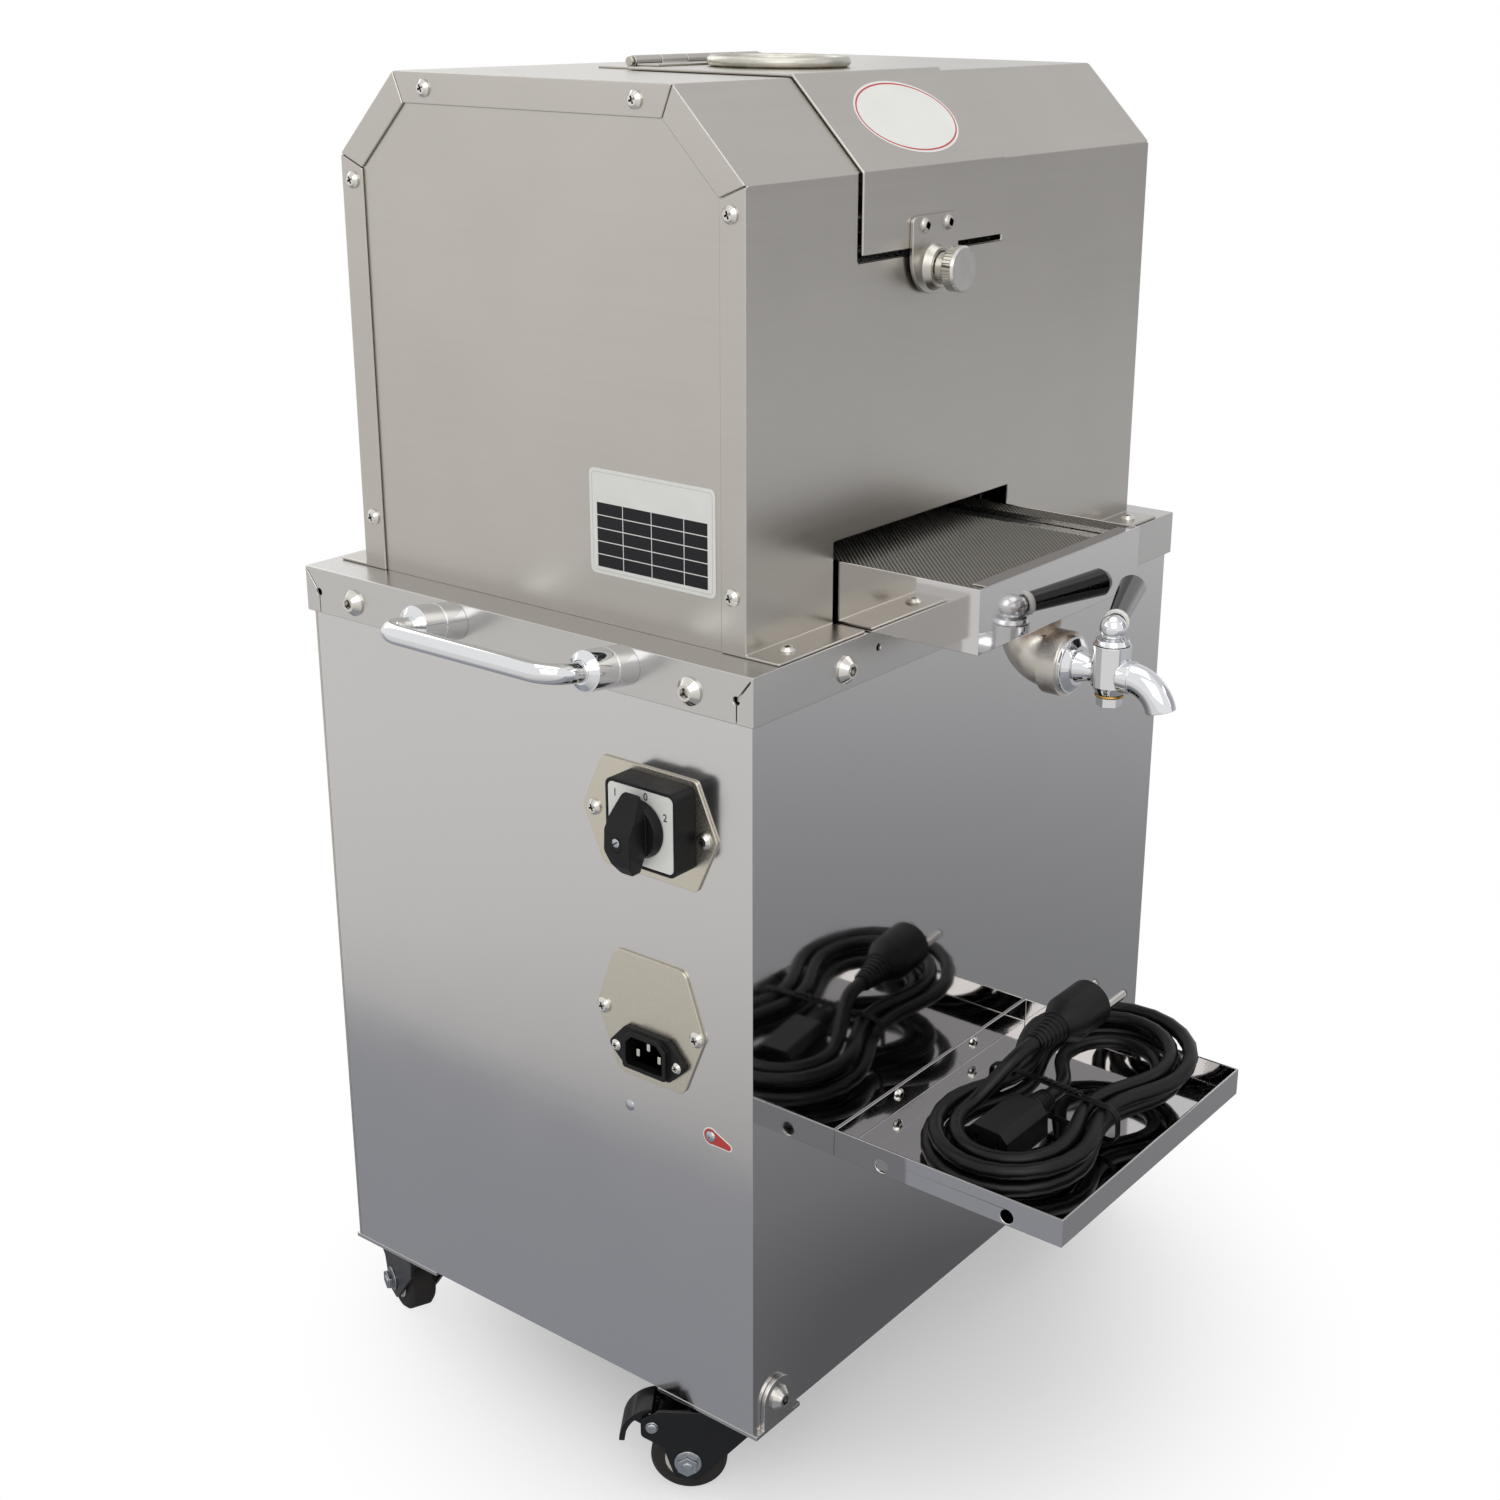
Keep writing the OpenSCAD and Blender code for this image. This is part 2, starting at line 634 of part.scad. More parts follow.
// Power inlet: screw flange, shrouded recess and three blades
module inlet_socket() color("black") place() on_left_wall(inlet_mid, sheet) {
    depth = 15;
    shroud = 2.5;
    recess = round_path([[-12, -8], [12, -8], [12, 4], [8, 8], [-8, 8], [-12, 4]], 1.2, 2);
    difference() {
        union() {
            linear_extrude(inlet_flange)
                    polygon(round_path([[-26, -1], [-14.6, 11.4], [14.6, 11.4], [26, -1],
                    [14.6, -11.4], [-14.6, -11.4]], 3));
            linear_extrude(inlet_flange + shroud)
                    polygon(round_path([[-14.4, -10.4], [14.4, -10.4], [14.4, 6], [9, 10.4],
                    [-9, 10.4], [-14.4, 6]], 1.5, 2));
            translate([0, 0, -depth]) linear_extrude(depth)
                    round_rect(inlet_cut[0] - 0.6, inlet_cut[1] - 0.6, 1.5);
        }
        translate([0, 0, inlet_flange + shroud - depth]) linear_extrude(depth + 1) polygon(recess);
    }
    for (p = [[-7, -2], [0, 3], [7, -2]])
        translate([p[0] - 1, p[1] - 2, inlet_flange + shroud - depth]) cube([2, 4, depth - 4]);
}

// Shelf tray on the front wall, with drain holes in its left wall
module shelf_tray() color("silver") place() {
    hole_d = 7.5;
    left = tray_x - tray_w / 2;
    right = tray_x + tray_w / 2;
    difference() {
        span_box([left, tray_front, tray_z], [right, front_y, tray_z + tray_h]);
        span_box([left + tray_t, tray_front + tray_t, tray_z + tray_t],
                [right - tray_t, front_y - tray_t, tray_z + tray_h + 1]);
        for (f = [0.22, 0.77])
            translate([left - 1, front_y - f * tray_d, tray_z + 5]) x_rod(hole_d, 0, tray_t + 2);
    }
}

// Mill frame

module at_roller(p) translate([0, p[0], tz + p[1]]) children();
rollers = [top_roller, feed_roller, discharge_roller];

cheek_gap = 17.8;
cheek_front = hs_front + cheek_gap;
cheek_rear = discharge_roller[0] + 48;
cheek_h = mill_z + 55;

module cheek_outline() {
    polygon(round_path([[cheek_front, tz], [cheek_front, tz + cheek_h - 22],
            [cheek_front + 22, tz + cheek_h],
        [cheek_rear - 34, tz + cheek_h], [cheek_rear, tz + cheek_h - 34], [cheek_rear, tz]], 5));
}

tie_d = 16;
// Bagasse slide, from above the discharge roller out through the rear sheet
slide_start = [discharge_roller[0] + 22, discharge_roller[1] + roller_d / 2 - 2];
slide_end = [hs_rear + 22, outlet_low + 6];
slide_angle = atan2(slide_end[1] - slide_start[1], slide_end[0] - slide_start[0]);
slide_bar_y = cheek_rear - 9;
slide_bar_z = slide_start[1] + (slide_bar_y - slide_start[0]) * tan(slide_angle)
        - tie_d / 2 / cos(slide_angle);
// The last bar carries the slide
tie_at = [[cheek_front + 11, 60], [cheek_front + 18, mill_z + 40], [cheek_rear - 30, mill_z + 38],
        [slide_bar_y, slide_bar_z]];

module cheek_plates() color("lightgray") place() {
    for (x = [cheek_l - cheek_t, cheek_r]) difference() {
        along_x(x, cheek_t) cheek_outline();
        for (p = rollers) at_roller(p) x_rod(bush_d + 0.04, x - 1, x + cheek_t + 1);
        for (p = tie_at) at_roller(p) x_rod(8, x - 1, x + cheek_t + 1);
    }
}

// Flanged bronze bushes in the cheeks
module roller_bushes() color("peru") place() {
    for (p = rollers, side = [0, 1]) at_roller(p) difference() {
        union() {
            x_rod(bush_d, side ? cheek_r : cheek_l - cheek_t, side ? cheek_r + cheek_t : cheek_l);
            x_rod(bush_d + 8, side ? cheek_r + cheek_t : cheek_l - cheek_t - bush_flange,
                  side ? cheek_r + cheek_t + bush_flange : cheek_l - cheek_t);
        }
        x_rod(shaft_d + 2 * run_fit, cheek_l - 40, cheek_r + 60);
    }
}

// Spacer bars between the cheeks, with a bolt head outside each end
module tie_bars() color("gray") place() {
    bolt_af = 13;
    bolt_h = bush_flange;
    for (p = tie_at) at_roller(p) {
        x_rod(tie_d, cheek_l, cheek_r);
        x_rod(8 - 0.04, cheek_l - cheek_t, cheek_r + cheek_t);
        for (x = [cheek_l - cheek_t - bolt_h, cheek_r + cheek_t])
            translate([x, 0, 0]) rotate([0, 90, 0]) cylinder(d = bolt_af / cos(30), h = bolt_h, $fn = 6);
    }
}

// Turn plate under the top roller, and the slide that carries the bagasse out at the rear
module bagasse_chute() color("lightgray") place() {
    turn_in = roller_d / 2 + 6;
    turn_t = 5;
    slide_t = 1.5;
    slide_wall = 18;
    slide_len = norm(slide_end - slide_start);
    at_roller(top_roller) along_x(cheek_l, cheek_in) difference() {
        circle(r = turn_in + turn_t);
        circle(r = turn_in);
        // Keep the arc between the two nips
        polygon([[0, 0], [-200, -150], [-200, 200], [200, 200], [200, -160], [35, -200]]);
    }
    at_roller(slide_start) rotate([slide_angle, 0, 0]) {
        span_box([head_x - outlet_half + 1, 0, 0], [head_x + outlet_half - 1, slide_len, slide_t]);
        for (x = [head_x - outlet_half + 1, head_x + outlet_half - 1 - slide_t])
            span_box([x, 0, slide_t], [x + slide_t, slide_len, slide_wall]);
    }
}

// Rollers: grooved barrel on a stepped shaft
module roller(p, right_end) place() at_roller(p) {
    groove = 2;
    flutes = 18;
    barrel_l = cheek_l + roller_end_gap;
    barrel_r = cheek_r - roller_end_gap;
    difference() {
        x_rod(roller_d, barrel_l, barrel_r);
        for (i = [0:flutes - 1])
            rotate([i * 360 / flutes, 0, 0]) translate([0, roller_d / 2 + 1, 0])
                    x_rod(2 * groove + 2, barrel_l - 1, barrel_r + 1);
    }
    x_rod(shaft_d, cheek_l - cheek_t - bush_flange - 4, barrel_l);
    x_rod(shaft_d, barrel_r, right_end);
}

module roller_top() color("lightgray") roller(top_roller, shaft_end);
module roller_feed() color("lightgray") roller(feed_roller, gear_x + gear_w + 3);
module roller_discharge() color("lightgray") roller(discharge_roller, gear_x + gear_w + 3);

// Involute spur gear outline as one ring of points
pressure = 20;
tooth_share = 0.46;
function involute(rb, a) = rb * [cos(a) + a * PI / 180 * sin(a), sin(a) - a * PI / 180 * cos(a)];
function spin(p, a) = [p[0] * cos(a) - p[1] * sin(a), p[0] * sin(a) + p[1] * cos(a)];
function gear_ring(m, teeth, phase) =
    let (
        rp = m * teeth / 2,
        rb = rp * cos(pressure),
        rt = rp + 0.85 * m,
        rr = rp - 1.2 * m,
        lean = (tan(pressure) * 180 / PI - pressure) + tooth_share * 180 / teeth,
        tip = sqrt(pow(rt / rb, 2) - 1) * 180 / PI,
        flank = [for (i = [0:3]) spin(involute(rb, tip * i / 3), -lean)],
        root = spin([rr, 0], -lean - 1)
    )
    [for (k = [0:teeth - 1],
            p = concat([root], flank, [for (i = [3:-1:0]) [flank[i][0], -flank[i][1]]],
            [[root[0], -root[1]]]))
        spin(p, phase + k * 360 / teeth)];

module spur_gear(p, phase) color("slategray") place() at_roller(p) difference() {
    along_x(gear_x, gear_w) polygon(gear_ring(gear_m, gear_teeth, phase));
    x_rod(shaft_d + 0.04, gear_x - 1, gear_x + gear_w + 1);
}

half_tooth = 180 / gear_teeth;
module gear_top() spur_gear(top_roller, 0);
module gear_feed() spur_gear(feed_roller, half_tooth);
module gear_discharge() spur_gear(discharge_roller, half_tooth);

// Roller chain and its two equal sprockets

chain_roller = 12;
seat_r = chain_roller / 2 + 0.5;
tooth_tip = 1.4;
function sprocket_ring() = [for (k = [0:chain_teeth - 1], p = concat(
    [for (i = [0:5]) [chain_r, 0] + seat_r * [cos(245 - 26 * i), sin(245 - 26 * i)]],
    [for (a = [-2.2, 2.2]) (chain_r + tooth_tip) * [cos(180 / chain_teeth + a),
            sin(180 / chain_teeth + a)]]))
    spin(p, k * 360 / chain_teeth)];

module sprocket(hub_from) {
    along_x(sprocket_x, sprocket_w) polygon(sprocket_ring());
    x_rod(shaft_d + 22, hub_from, sprocket_x);
}

module drive_sprocket() color("slategray") place() at_roller(top_roller) difference() {
    sprocket(gear_x + gear_w + 0.5);
    x_rod(shaft_d + 0.04, gear_x, shaft_end + 1);
}

module motor_sprocket() color("slategray") place() translate([0, top_roller[0], motor_z]) {
    sprocket(gearbox_x + gearbox_len + boss_len + 2);
    x_rod(shaft_d, gearbox_x + gearbox_len - 30, shaft_end);
}

// Joint j of the chain, from the top sprocket's axis: round the top, down, round the bottom, up
half_wrap = chain_teeth / 2;
chain_links = 2 * chain_n + chain_teeth;
function chain_joint(j) =
    let (i = j % chain_links)
    i <= half_wrap ? chain_r * [cos(180 * i / half_wrap), sin(180 * i / half_wrap)] :
    i <= half_wrap + chain_n ? [-chain_r, -(i - half_wrap) * chain_p] :
    i <= 2 * half_wrap + chain_n ?
        [chain_r * cos(180 + 180 * (i - half_wrap - chain_n) / half_wrap),
         chain_r * sin(180 + 180 * (i - half_wrap - chain_n) / half_wrap) - chain_n * chain_p] :
    [chain_r, -chain_n * chain_p + (i - 2 * half_wrap - chain_n) * chain_p];

module link_plates(x0, t) for (x = [chain_mid - x0 - t, chain_mid + x0]) along_x(x, t) {
    circle(d = 15, $fn = 24);
    translate([chain_p, 0]) circle(d = 15, $fn = 24);
    translate([0, -5.5]) square([chain_p, 11]);
}

module chain_link(j) {
    pin = 5.6;
    a = chain_joint(j);
    b = chain_joint(j + 1);
    translate([0, a[0], a[1]]) rotate([atan2(b[1] - a[1], b[0] - a[0]), 0, 0]) {
        if (j % 2 == 0) {
            link_plates(8.1, 1.6);
            for (y = [0, chain_p]) translate([0, y, 0])
                    x_rod(pin, chain_mid - chain_side, chain_mid + chain_side);
        } else difference() {
            union() {
                link_plates(5.9, 1.8);
                for (y = [0, chain_p]) translate([0, y, 0])
                        x_rod(chain_roller, chain_mid - 5.9, chain_mid + 5.9);
            }
            for (y = [0, chain_p]) translate([0, y, 0]) x_rod(pin + 0.3, chain_mid - 9, chain_mid + 9);
        }
    }
}

// Groove in the fixed loop, so that the teeth pass at every angle
module tooth_groove() for (z = [0, -chain_n * chain_p]) translate([0, 0, z])
        x_rod(2 * (chain_r + tooth_tip + hair), sprocket_x - hair, sprocket_x + sprocket_w + hair);

function wrapped(j) = min([for (i = [j, j + 1], z = [0, chain_n * chain_p])
        norm(chain_joint(i) + [0, z])]) < chain_r + chain_p / 2;

module drive_chain() color("dimgray") place() at_roller(top_roller) for (j = [0:chain_links - 1])
    if (wrapped(j)) difference() {
        chain_link(j);
        tooth_groove();
    } else chain_link(j);

// Gear motor on the base

gearbox_x = -16;
gearbox_len = 76;
boss_len = 8;
motor_d = 116;
motor_gap = 16;
motor_flange = 12;
cowl_len = 34;
motor_len = side_x - sheet - motor_gap - cowl_len - motor_flange + gearbox_x;

module gearbox() color("lightslategray") place() translate([0, top_roller[0], motor_z]) {
    foot_t = 12;
    difference() {
        union() {
            along_x(gearbox_x, gearbox_len) {
                circle(d = 132);
                translate([-52, -gearbox_axis + foot_t]) square([104, gearbox_axis]);
            }
            span_box([gearbox_x - 10, -plinth[1] / 2, -gearbox_axis],
                    [gearbox_x - 10 + plinth[0], plinth[1] / 2, -gearbox_axis + foot_t]);
            x_rod(74, gearbox_x + gearbox_len, gearbox_x + gearbox_len + boss_len);
            for (x = [gearbox_x + 18, gearbox_x + 50]) span_box([x, -70, -gearbox_axis], [x + 6, 70, -20]);
        }
        x_rod(shaft_d + 2 * run_fit, gearbox_x + gearbox_len - 31, gearbox_x + gearbox_len + boss_len + 1);
        for (sx = [0, 1], sy = [-1, 1])
            translate([gearbox_x + 2 + sx * 72, sy * 64, -gearbox_axis - 1])
                    cylinder(d = 9, h = foot_t + 2);
    }
}

// Finned motor with its terminal box and fan cowl
module drive_motor() color("steelblue") place() translate([0, top_roller[0], motor_z]) {
    fins = 28;
    fin_h = 7;
    core_d = motor_d - 2 * fin_h;
    // Terminal box, from the flange and from the cowl
    box_gap = [22, 28];
    x_rod(motor_d + 18, gearbox_x - motor_flange, gearbox_x);
    x_rod(core_d, gearbox_x - motor_flange - motor_len, gearbox_x - motor_flange);
    for (i = [0:fins - 1]) rotate([i * 360 / fins, 0, 0])
        span_box([gearbox_x - motor_flange - motor_len - 2, core_d / 2 - 1, -1.2],
                [gearbox_x - motor_flange + 2, motor_d / 2, 1.2]);
    translate([gearbox_x - motor_flange - motor_len - cowl_len, 0, 0]) difference() {
        x_rod(motor_d + 4, 0, cowl_len);
        for (r = [18, 32, 46], a = [0:45:315]) rotate([a + r, 0, 0]) translate([0, r, 0]) x_rod(7, -1, 5);
    }
    span_box([gearbox_x - motor_flange - motor_len + box_gap[1], -34, motor_d / 2 - 6],
            [gearbox_x - motor_flange - box_gap[0], 34, motor_d / 2 + 34]);
}

// Feed lid

module feed_lid() color("tan") place() translate([0, 0, tz]) difference() {
    along_x(head_x - lid_w / 2, lid_w) intersection() {
        difference() {
            polygon(housing_path(-hair - lid_t));
            polygon(concat([[hs_front - hair, -1]], [for (p = [1:4]) housing_path(-hair)[p]],
                    [[hs_rear + hair, -1]]));
        }
        translate([hs_front - 10, lid_low]) square([lid_rear - hs_front + 10, hs_h]);
    }
    translate([head_x, feed_y, hs_h - 5]) cylinder(d = tube_d + 0.04, h = 20);
}

// Feed tube with its rolled rim
module feed_tube() color("lightgray") place() translate([head_x, feed_y, tz + hs_h]) {
    rim_z = hair + lid_t + rim_d / 2 + 0.2;
    difference() {
        union() {
            translate([0, 0, -tube_drop]) cylinder(d = tube_d, h = tube_drop + rim_z, $fn = 96);
            rotate_extrude($fn = 96) translate([feed_bore / 2 + rim_d / 2, rim_z]) circle(d = rim_d);
        }
        translate([0, 0, -tube_drop - 1]) cylinder(d = feed_bore, h = tube_drop + 20, $fn = 96);
    }
}

// Hinge: knuckles of the two leaves take turns along one pin
knuckle_len = hinge_len / hinge_knuckles;

module hinge_knuckle(i, side, leaf_low) {
    x0 = head_x - hinge_len / 2 + i * knuckle_len + 0.2;
    x1 = x0 + knuckle_len - 0.4;
    difference() {
        union() {
            translate([0, hinge_y, hinge_z]) x_rod(2 * knuckle_r, x0, x1);
            span_box([x0, side > 0 ? hinge_y : hinge_y - knuckle_r, leaf_low],
                     [x1, side > 0 ? hinge_y + knuckle_r : hinge_y, hinge_z]);
        }
        translate([0, hinge_y, hinge_z]) x_rod(pin_d + 2 * run_fit, x0 - 1, x1 + 1);
    }
}

module hinge_fixed_leaf() color("gray") place() {
    leaf_low = tz + hs_h;
    for (i = [0:2:hinge_knuckles - 1]) hinge_knuckle(i, 1, leaf_low);
    span_box([head_x - hinge_len / 2, hinge_y + knuckle_r - 0.5, leaf_low],
            [head_x + hinge_len / 2, hinge_y + knuckle_r + leaf_w, leaf_low + leaf_t]);
    translate([0, hinge_y, hinge_z]) {
        x_rod(pin_d, head_x - hinge_len / 2 - 1, head_x + hinge_len / 2 + 1);
        for (x = [head_x - hinge_len / 2 - 2.2, head_x + hinge_len / 2 + 0.6]) x_rod(pin_d + 2, x, x + 1.6);
    }
}

module hinge_moving_leaf() color("gray") place() {
    leaf_low = tz + hs_h + hair + lid_t;
    for (i = [1:2:hinge_knuckles - 1]) hinge_knuckle(i, -1, leaf_low);
    span_box([head_x - hinge_len / 2, lid_rear - leaf_w / 2, leaf_low],
            [head_x + hinge_len / 2, hinge_y - knuckle_r - 0.4, leaf_low + leaf_t]);
    for (i = [1:2:hinge_knuckles - 1])
        span_box([head_x - hinge_len / 2 + i * knuckle_len + 0.2, hinge_y - knuckle_r - 1, leaf_low],
                 [head_x - hinge_len / 2 + (i + 1) * knuckle_len - 0.2, hinge_y - knuckle_r + 0.5,
                         leaf_low + leaf_t]);
}

// Latch: a strap on the lid with a ferrule for the knurled thumb screw
latch_low = latch_z - 13;
latch_high = latch_z + 25;

// Small radii at the top, a round foot
function latch_outline() =
    let (
        a = [-latch_w / 2, latch_low],
        b = [-latch_w / 2, latch_high],
        c = [latch_w / 2, latch_high],
        d = [latch_w / 2, latch_low]
    )
    concat(corner_arc(d, a, b, 18.5, 8), corner_arc(a, b, c, 3, 4), corner_arc(b, c, d, 3, 4),
            corner_arc(c, d, a, 18.5, 8));

module latch_bracket() color("lightgray") place() {
    difference() {
        union() {
            along_y(latch_back - latch_t, latch_t) translate([latch_x, 0])
                polygon(latch_outline());
            translate([latch_x, latch_back - latch_t, latch_z]) out_front()
                    cylinder(d1 = 23, d2 = 19.5, h = ferrule_len);
        }
        translate([latch_x, latch_back - latch_t, latch_z]) {
            y_rod(thumb_d + 2 * run_fit, -ferrule_len - 1, latch_t + 1);
            // Cup that takes the screw's collar
            y_rod(collar_screw_d + 2 * hair, -ferrule_len - 1, -hair);
        }
    }
    for (s = [-1, 1]) translate([latch_x + s * 10, latch_back - latch_t, latch_z + 20.5]) out_front()
            pan_head(7.5);
}

// Knurled thumb screw, drawn back
module latch_screw() color("lightgray") place() translate([latch_x, latch_back, latch_z]) {
    head_d = 22.5;
    head_len = 7;
    neck = latch_t + ferrule_len + latch_travel + hair;
    knurls = 40;
    y_rod(thumb_d, -neck - 1, 0);
    y_rod(collar_screw_d, -neck - 1.6, -latch_t - ferrule_len - 2 * hair);
    difference() {
        translate([0, -neck - 1.5, 0]) out_front() {
            cylinder(d1 = head_d - 2, d2 = head_d, h = 1);
            translate([0, 0, 1]) cylinder(d = head_d, h = head_len - 2);
            translate([0, 0, head_len - 1]) cylinder(d1 = head_d, d2 = head_d - 2, h = 1);
        }
        for (i = [0:knurls - 1]) rotate([0, i * 360 / knurls, 0])
            translate([head_d / 2 - 0.2, -neck - head_len, 0]) rotate([0, 45, 0])
                    cube([0.9, head_len - 2.6, 0.9]);
    }
}

// Juice pan, strainer and tap

drain_d = 20;

module juice_pan() color("silver") place() translate([head_x, 0, pan_z]) {
    hem = 9;
    difference() {
        span_box([-pan_w / 2, pan_front, 0], [pan_w / 2, pan_front + pan_len, pan_h]);
        span_box([-pan_w / 2 + pan_t, pan_front + pan_t, pan_t],
                [pan_w / 2 - pan_t, pan_front + pan_len - pan_t, pan_h + 1]);
        translate([0, elbow_y, -1]) cylinder(d = drain_d, h = pan_t + 2);
    }
    // Turned-in hem of the front wall, short of the corners
    span_box([-pan_w / 2 + 7, pan_front + pan_t, pan_h - pan_t], [pan_w / 2 - 7, pan_front + hem, pan_h]);
}

// Screen in a strip frame that stands on the pan's floor
module strainer() color("darkkhaki") place() translate([head_x, 0, pan_z]) {
    gap = 1.5;
    strip = 13;
    leg_t = 1;
    frame_t = 1.2;
    bar = 1.2;
    cells = [11, 22];
    half = pan_w / 2 - pan_t - gap;
    y0 = pan_front + 9 + gap;
    y1 = pan_front + pan_len - pan_t - gap;
    inner = [2 * half - 2 * strip, y1 - y0 - 2 * strip];
    step = [inner[0] / cells[0], inner[1] / cells[1]];
    translate([0, 0, strainer_top - frame_t]) linear_extrude(frame_t) difference() {
        translate([-half, y0]) square([2 * half, y1 - y0]);
        for (i = [0:cells[0] - 1], j = [0:cells[1] - 1])
            translate([-half + strip + i * step[0] + bar / 2, y0 + strip + j * step[1] + bar / 2])
                square([step[0] - bar, step[1] - bar]);
    }
    for (x = [-half, half - leg_t])
        span_box([x, y0, pan_t + hair], [x + leg_t, y1, strainer_top - frame_t]);
}

// Cast elbow under the pan: two bands and a quarter bend
module pipe_elbow() color("rosybrown") place() translate([head_x, elbow_y, 0]) difference() {
    union() {
        translate([0, 0, elbow_z + elbow_r]) cylinder(d = band_d, h = pan_z - elbow_z - elbow_r);
        translate([0, -elbow_r, elbow_z + elbow_r]) rotate([0, 90, 0])
            rotate_extrude(angle = 90) translate([elbow_r, 0]) circle(d = elbow_d);
        translate([0, 0, elbow_z]) y_rod(band_d, -elbow_r - 10, -elbow_r);
    }
    translate([0, 0, elbow_z]) cylinder(d = drain_d - 2, h = 40);
    translate([0, 0, elbow_z]) y_rod(drain_d - 2, -elbow_r - 11, 0);
}

module tap_body() color("lightsteelblue") place() translate([head_x, 0, 0]) difference() {
    union() {
        translate([0, tap_face, elbow_z]) out_front() {
            cylinder(d = 29, h = 2.5);
            translate([0, 0, 2.5]) cylinder(d1 = 27, d2 = 20, h = 3);
            translate([0, 0, 5.5]) cylinder(d1 = 16, d2 = 12.5, h = 5.5);
            translate([0, 0, 11]) cylinder(d = 12.5, h = 7);
        }
        translate([0, barrel_y, barrel_top - barrel_h]) {
            cylinder(d1 = barrel_d - 5, d2 = barrel_d - 1, h = 4);
            translate([0, 0, 4]) cylinder(d = barrel_d, h = barrel_h - 4);
        }
        translate([0, barrel_y - 11, elbow_z - spout_r]) rotate([0, -90, 0]) rotate([0, 0, -76])
            rotate_extrude(angle = 76) translate([spout_r, 0]) circle(d = spout_d);
        translate([0, barrel_y - 12.5, elbow_z]) y_rod(spout_d + 1.4, 0, 6.1);
    }
    translate([0, barrel_y, barrel_top - barrel_h - 1])
            cylinder(d = plug_d + 2 * run_fit, h = barrel_h + 2);
    // Waterway into the barrel and the open end of the spout
    translate([0, barrel_y + plug_d / 2 - 1, elbow_z]) y_rod(8, 0, 40);
    translate([0, barrel_y - 11, elbow_z - spout_r]) rotate([0, -90, 0]) rotate([0, 0, -77])
        rotate_extrude(angle = 40) translate([spout_r, 0]) circle(d = spout_d - 4.4);
}

// Unit vector along the lever, and a turn that lays +Z along it
module along_lever() translate([head_x, barrel_y, ball_z]) rotate([0, 0, lever_yaw])
        rotate([0, 90 - lever_pitch, 0]) children();

// Turning plug with its ball head, and the nut that holds it
module tap_plug() color("lightsteelblue") place() {
    nut_h = 5;
    nut_top = barrel_top - barrel_h - hair;
    translate([head_x, barrel_y, 0]) {
        translate([0, 0, nut_top - nut_h - 1.5]) cylinder(d = plug_d, h = barrel_top - nut_top + nut_h + 2);
        translate([0, 0, nut_top - 1]) cylinder(d = 14, h = 1);
        translate([0, 0, nut_top - 1 - nut_h]) cylinder(d = 13, h = nut_h, $fn = 6);
        translate([0, 0, barrel_top + hair]) cylinder(d1 = barrel_d - 1, d2 = barrel_d - 3, h = 2.5);
        translate([0, 0, barrel_top + hair]) cylinder(d = 8, h = ball_z - barrel_top - hair);
        translate([0, 0, ball_z]) sphere(d = ball_d);
    }
    along_lever() translate([0, 0, ball_d / 2 - 1]) cylinder(d = 8, h = 2);
}

// Tapered grip behind its ferrule ring
module tap_grip() color("black") place() along_lever() {
    ring_at = ball_d / 2 + 1;
    ring_h = 3;
    end_d = 14.5;
    translate([0, 0, ring_at]) cylinder(d = 12, h = ring_h);
    translate([0, 0, ring_at + ring_h])
            cylinder(d1 = 10.5, d2 = end_d, h = lever_len - ring_at - ring_h - 4);
    translate([0, 0, lever_len - 4]) cylinder(d1 = end_d, d2 = end_d - 5, h = 4);
}

// Swivel casters with brake pedals, made at the swivel axis with the wheel trailing towards +Y

module at_caster(i) place()
    translate([caster_signs[i][0] * stem_x, caster_signs[i][1] * stem_y, 0])
            rotate([0, 0, caster_yaw[i]]) children();

wheel_z = wheel_d / 2;

module fork_outline() polygon(round_path([[-17, crown_z], [-15, crown_z - 11],
        [trail - 11, wheel_z - 5], [trail - 5, wheel_z - 11],
    [trail + 7, wheel_z - 10], [trail + 13, wheel_z + 9], [pedal_pivot[0] + 6, pedal_pivot[1] - 6],
    [pedal_pivot[0] + 6, pedal_pivot[1] + 4], [pedal_pivot[0] - 4, crown_z]], 3, 3));

module caster_fork(i) color("black") at_caster(i) {
    difference() {
        union() {
            for (x = [-fork_in - fork_t, fork_in]) along_x(x, fork_t) fork_outline();
            span_box([-fork_in, -17, crown_z - 4], [fork_in, trail, crown_z]);
        }
        translate([0, 0, crown_z - 10]) cylinder(d = stem_d + 2 * run_fit, h = 20);
        translate([0, pedal_pivot[0], pedal_pivot[1]]) x_rod(4 + 2 * run_fit, -30, 30);
    }
    // Axle bolt through the cheeks, with its hex head and nut
    translate([0, trail, wheel_z]) {
        x_rod(axle_d, -fork_in - fork_t, fork_in + fork_t);
        for (x = [-fork_in - fork_t - 4, fork_in + fork_t])
            translate([x, 0, 0]) rotate([0, 90, 0]) cylinder(d = 10 / cos(30), h = 4, $fn = 6);
    }
}

module caster_wheel(i) color("dimgray") at_caster(i) translate([0, trail, wheel_z]) rotate([0, 90, 0])
        difference() {
    union() {
        rotate_extrude() polygon([[0, -wheel_w / 2 + 1], [8, -wheel_w / 2 + 1], [8, -wheel_w / 2],
                [wheel_d / 2 - 2.5, -wheel_w / 2],
            [wheel_d / 2, -wheel_w / 2 + 2.5], [wheel_d / 2, wheel_w / 2 - 2.5],
                    [wheel_d / 2 - 2.5, wheel_w / 2],
            [8, wheel_w / 2], [8, wheel_w / 2 - 1], [0, wheel_w / 2 - 1]]);
    }
    cylinder(d = axle_d + 2 * run_fit, h = 60, center = true);
}

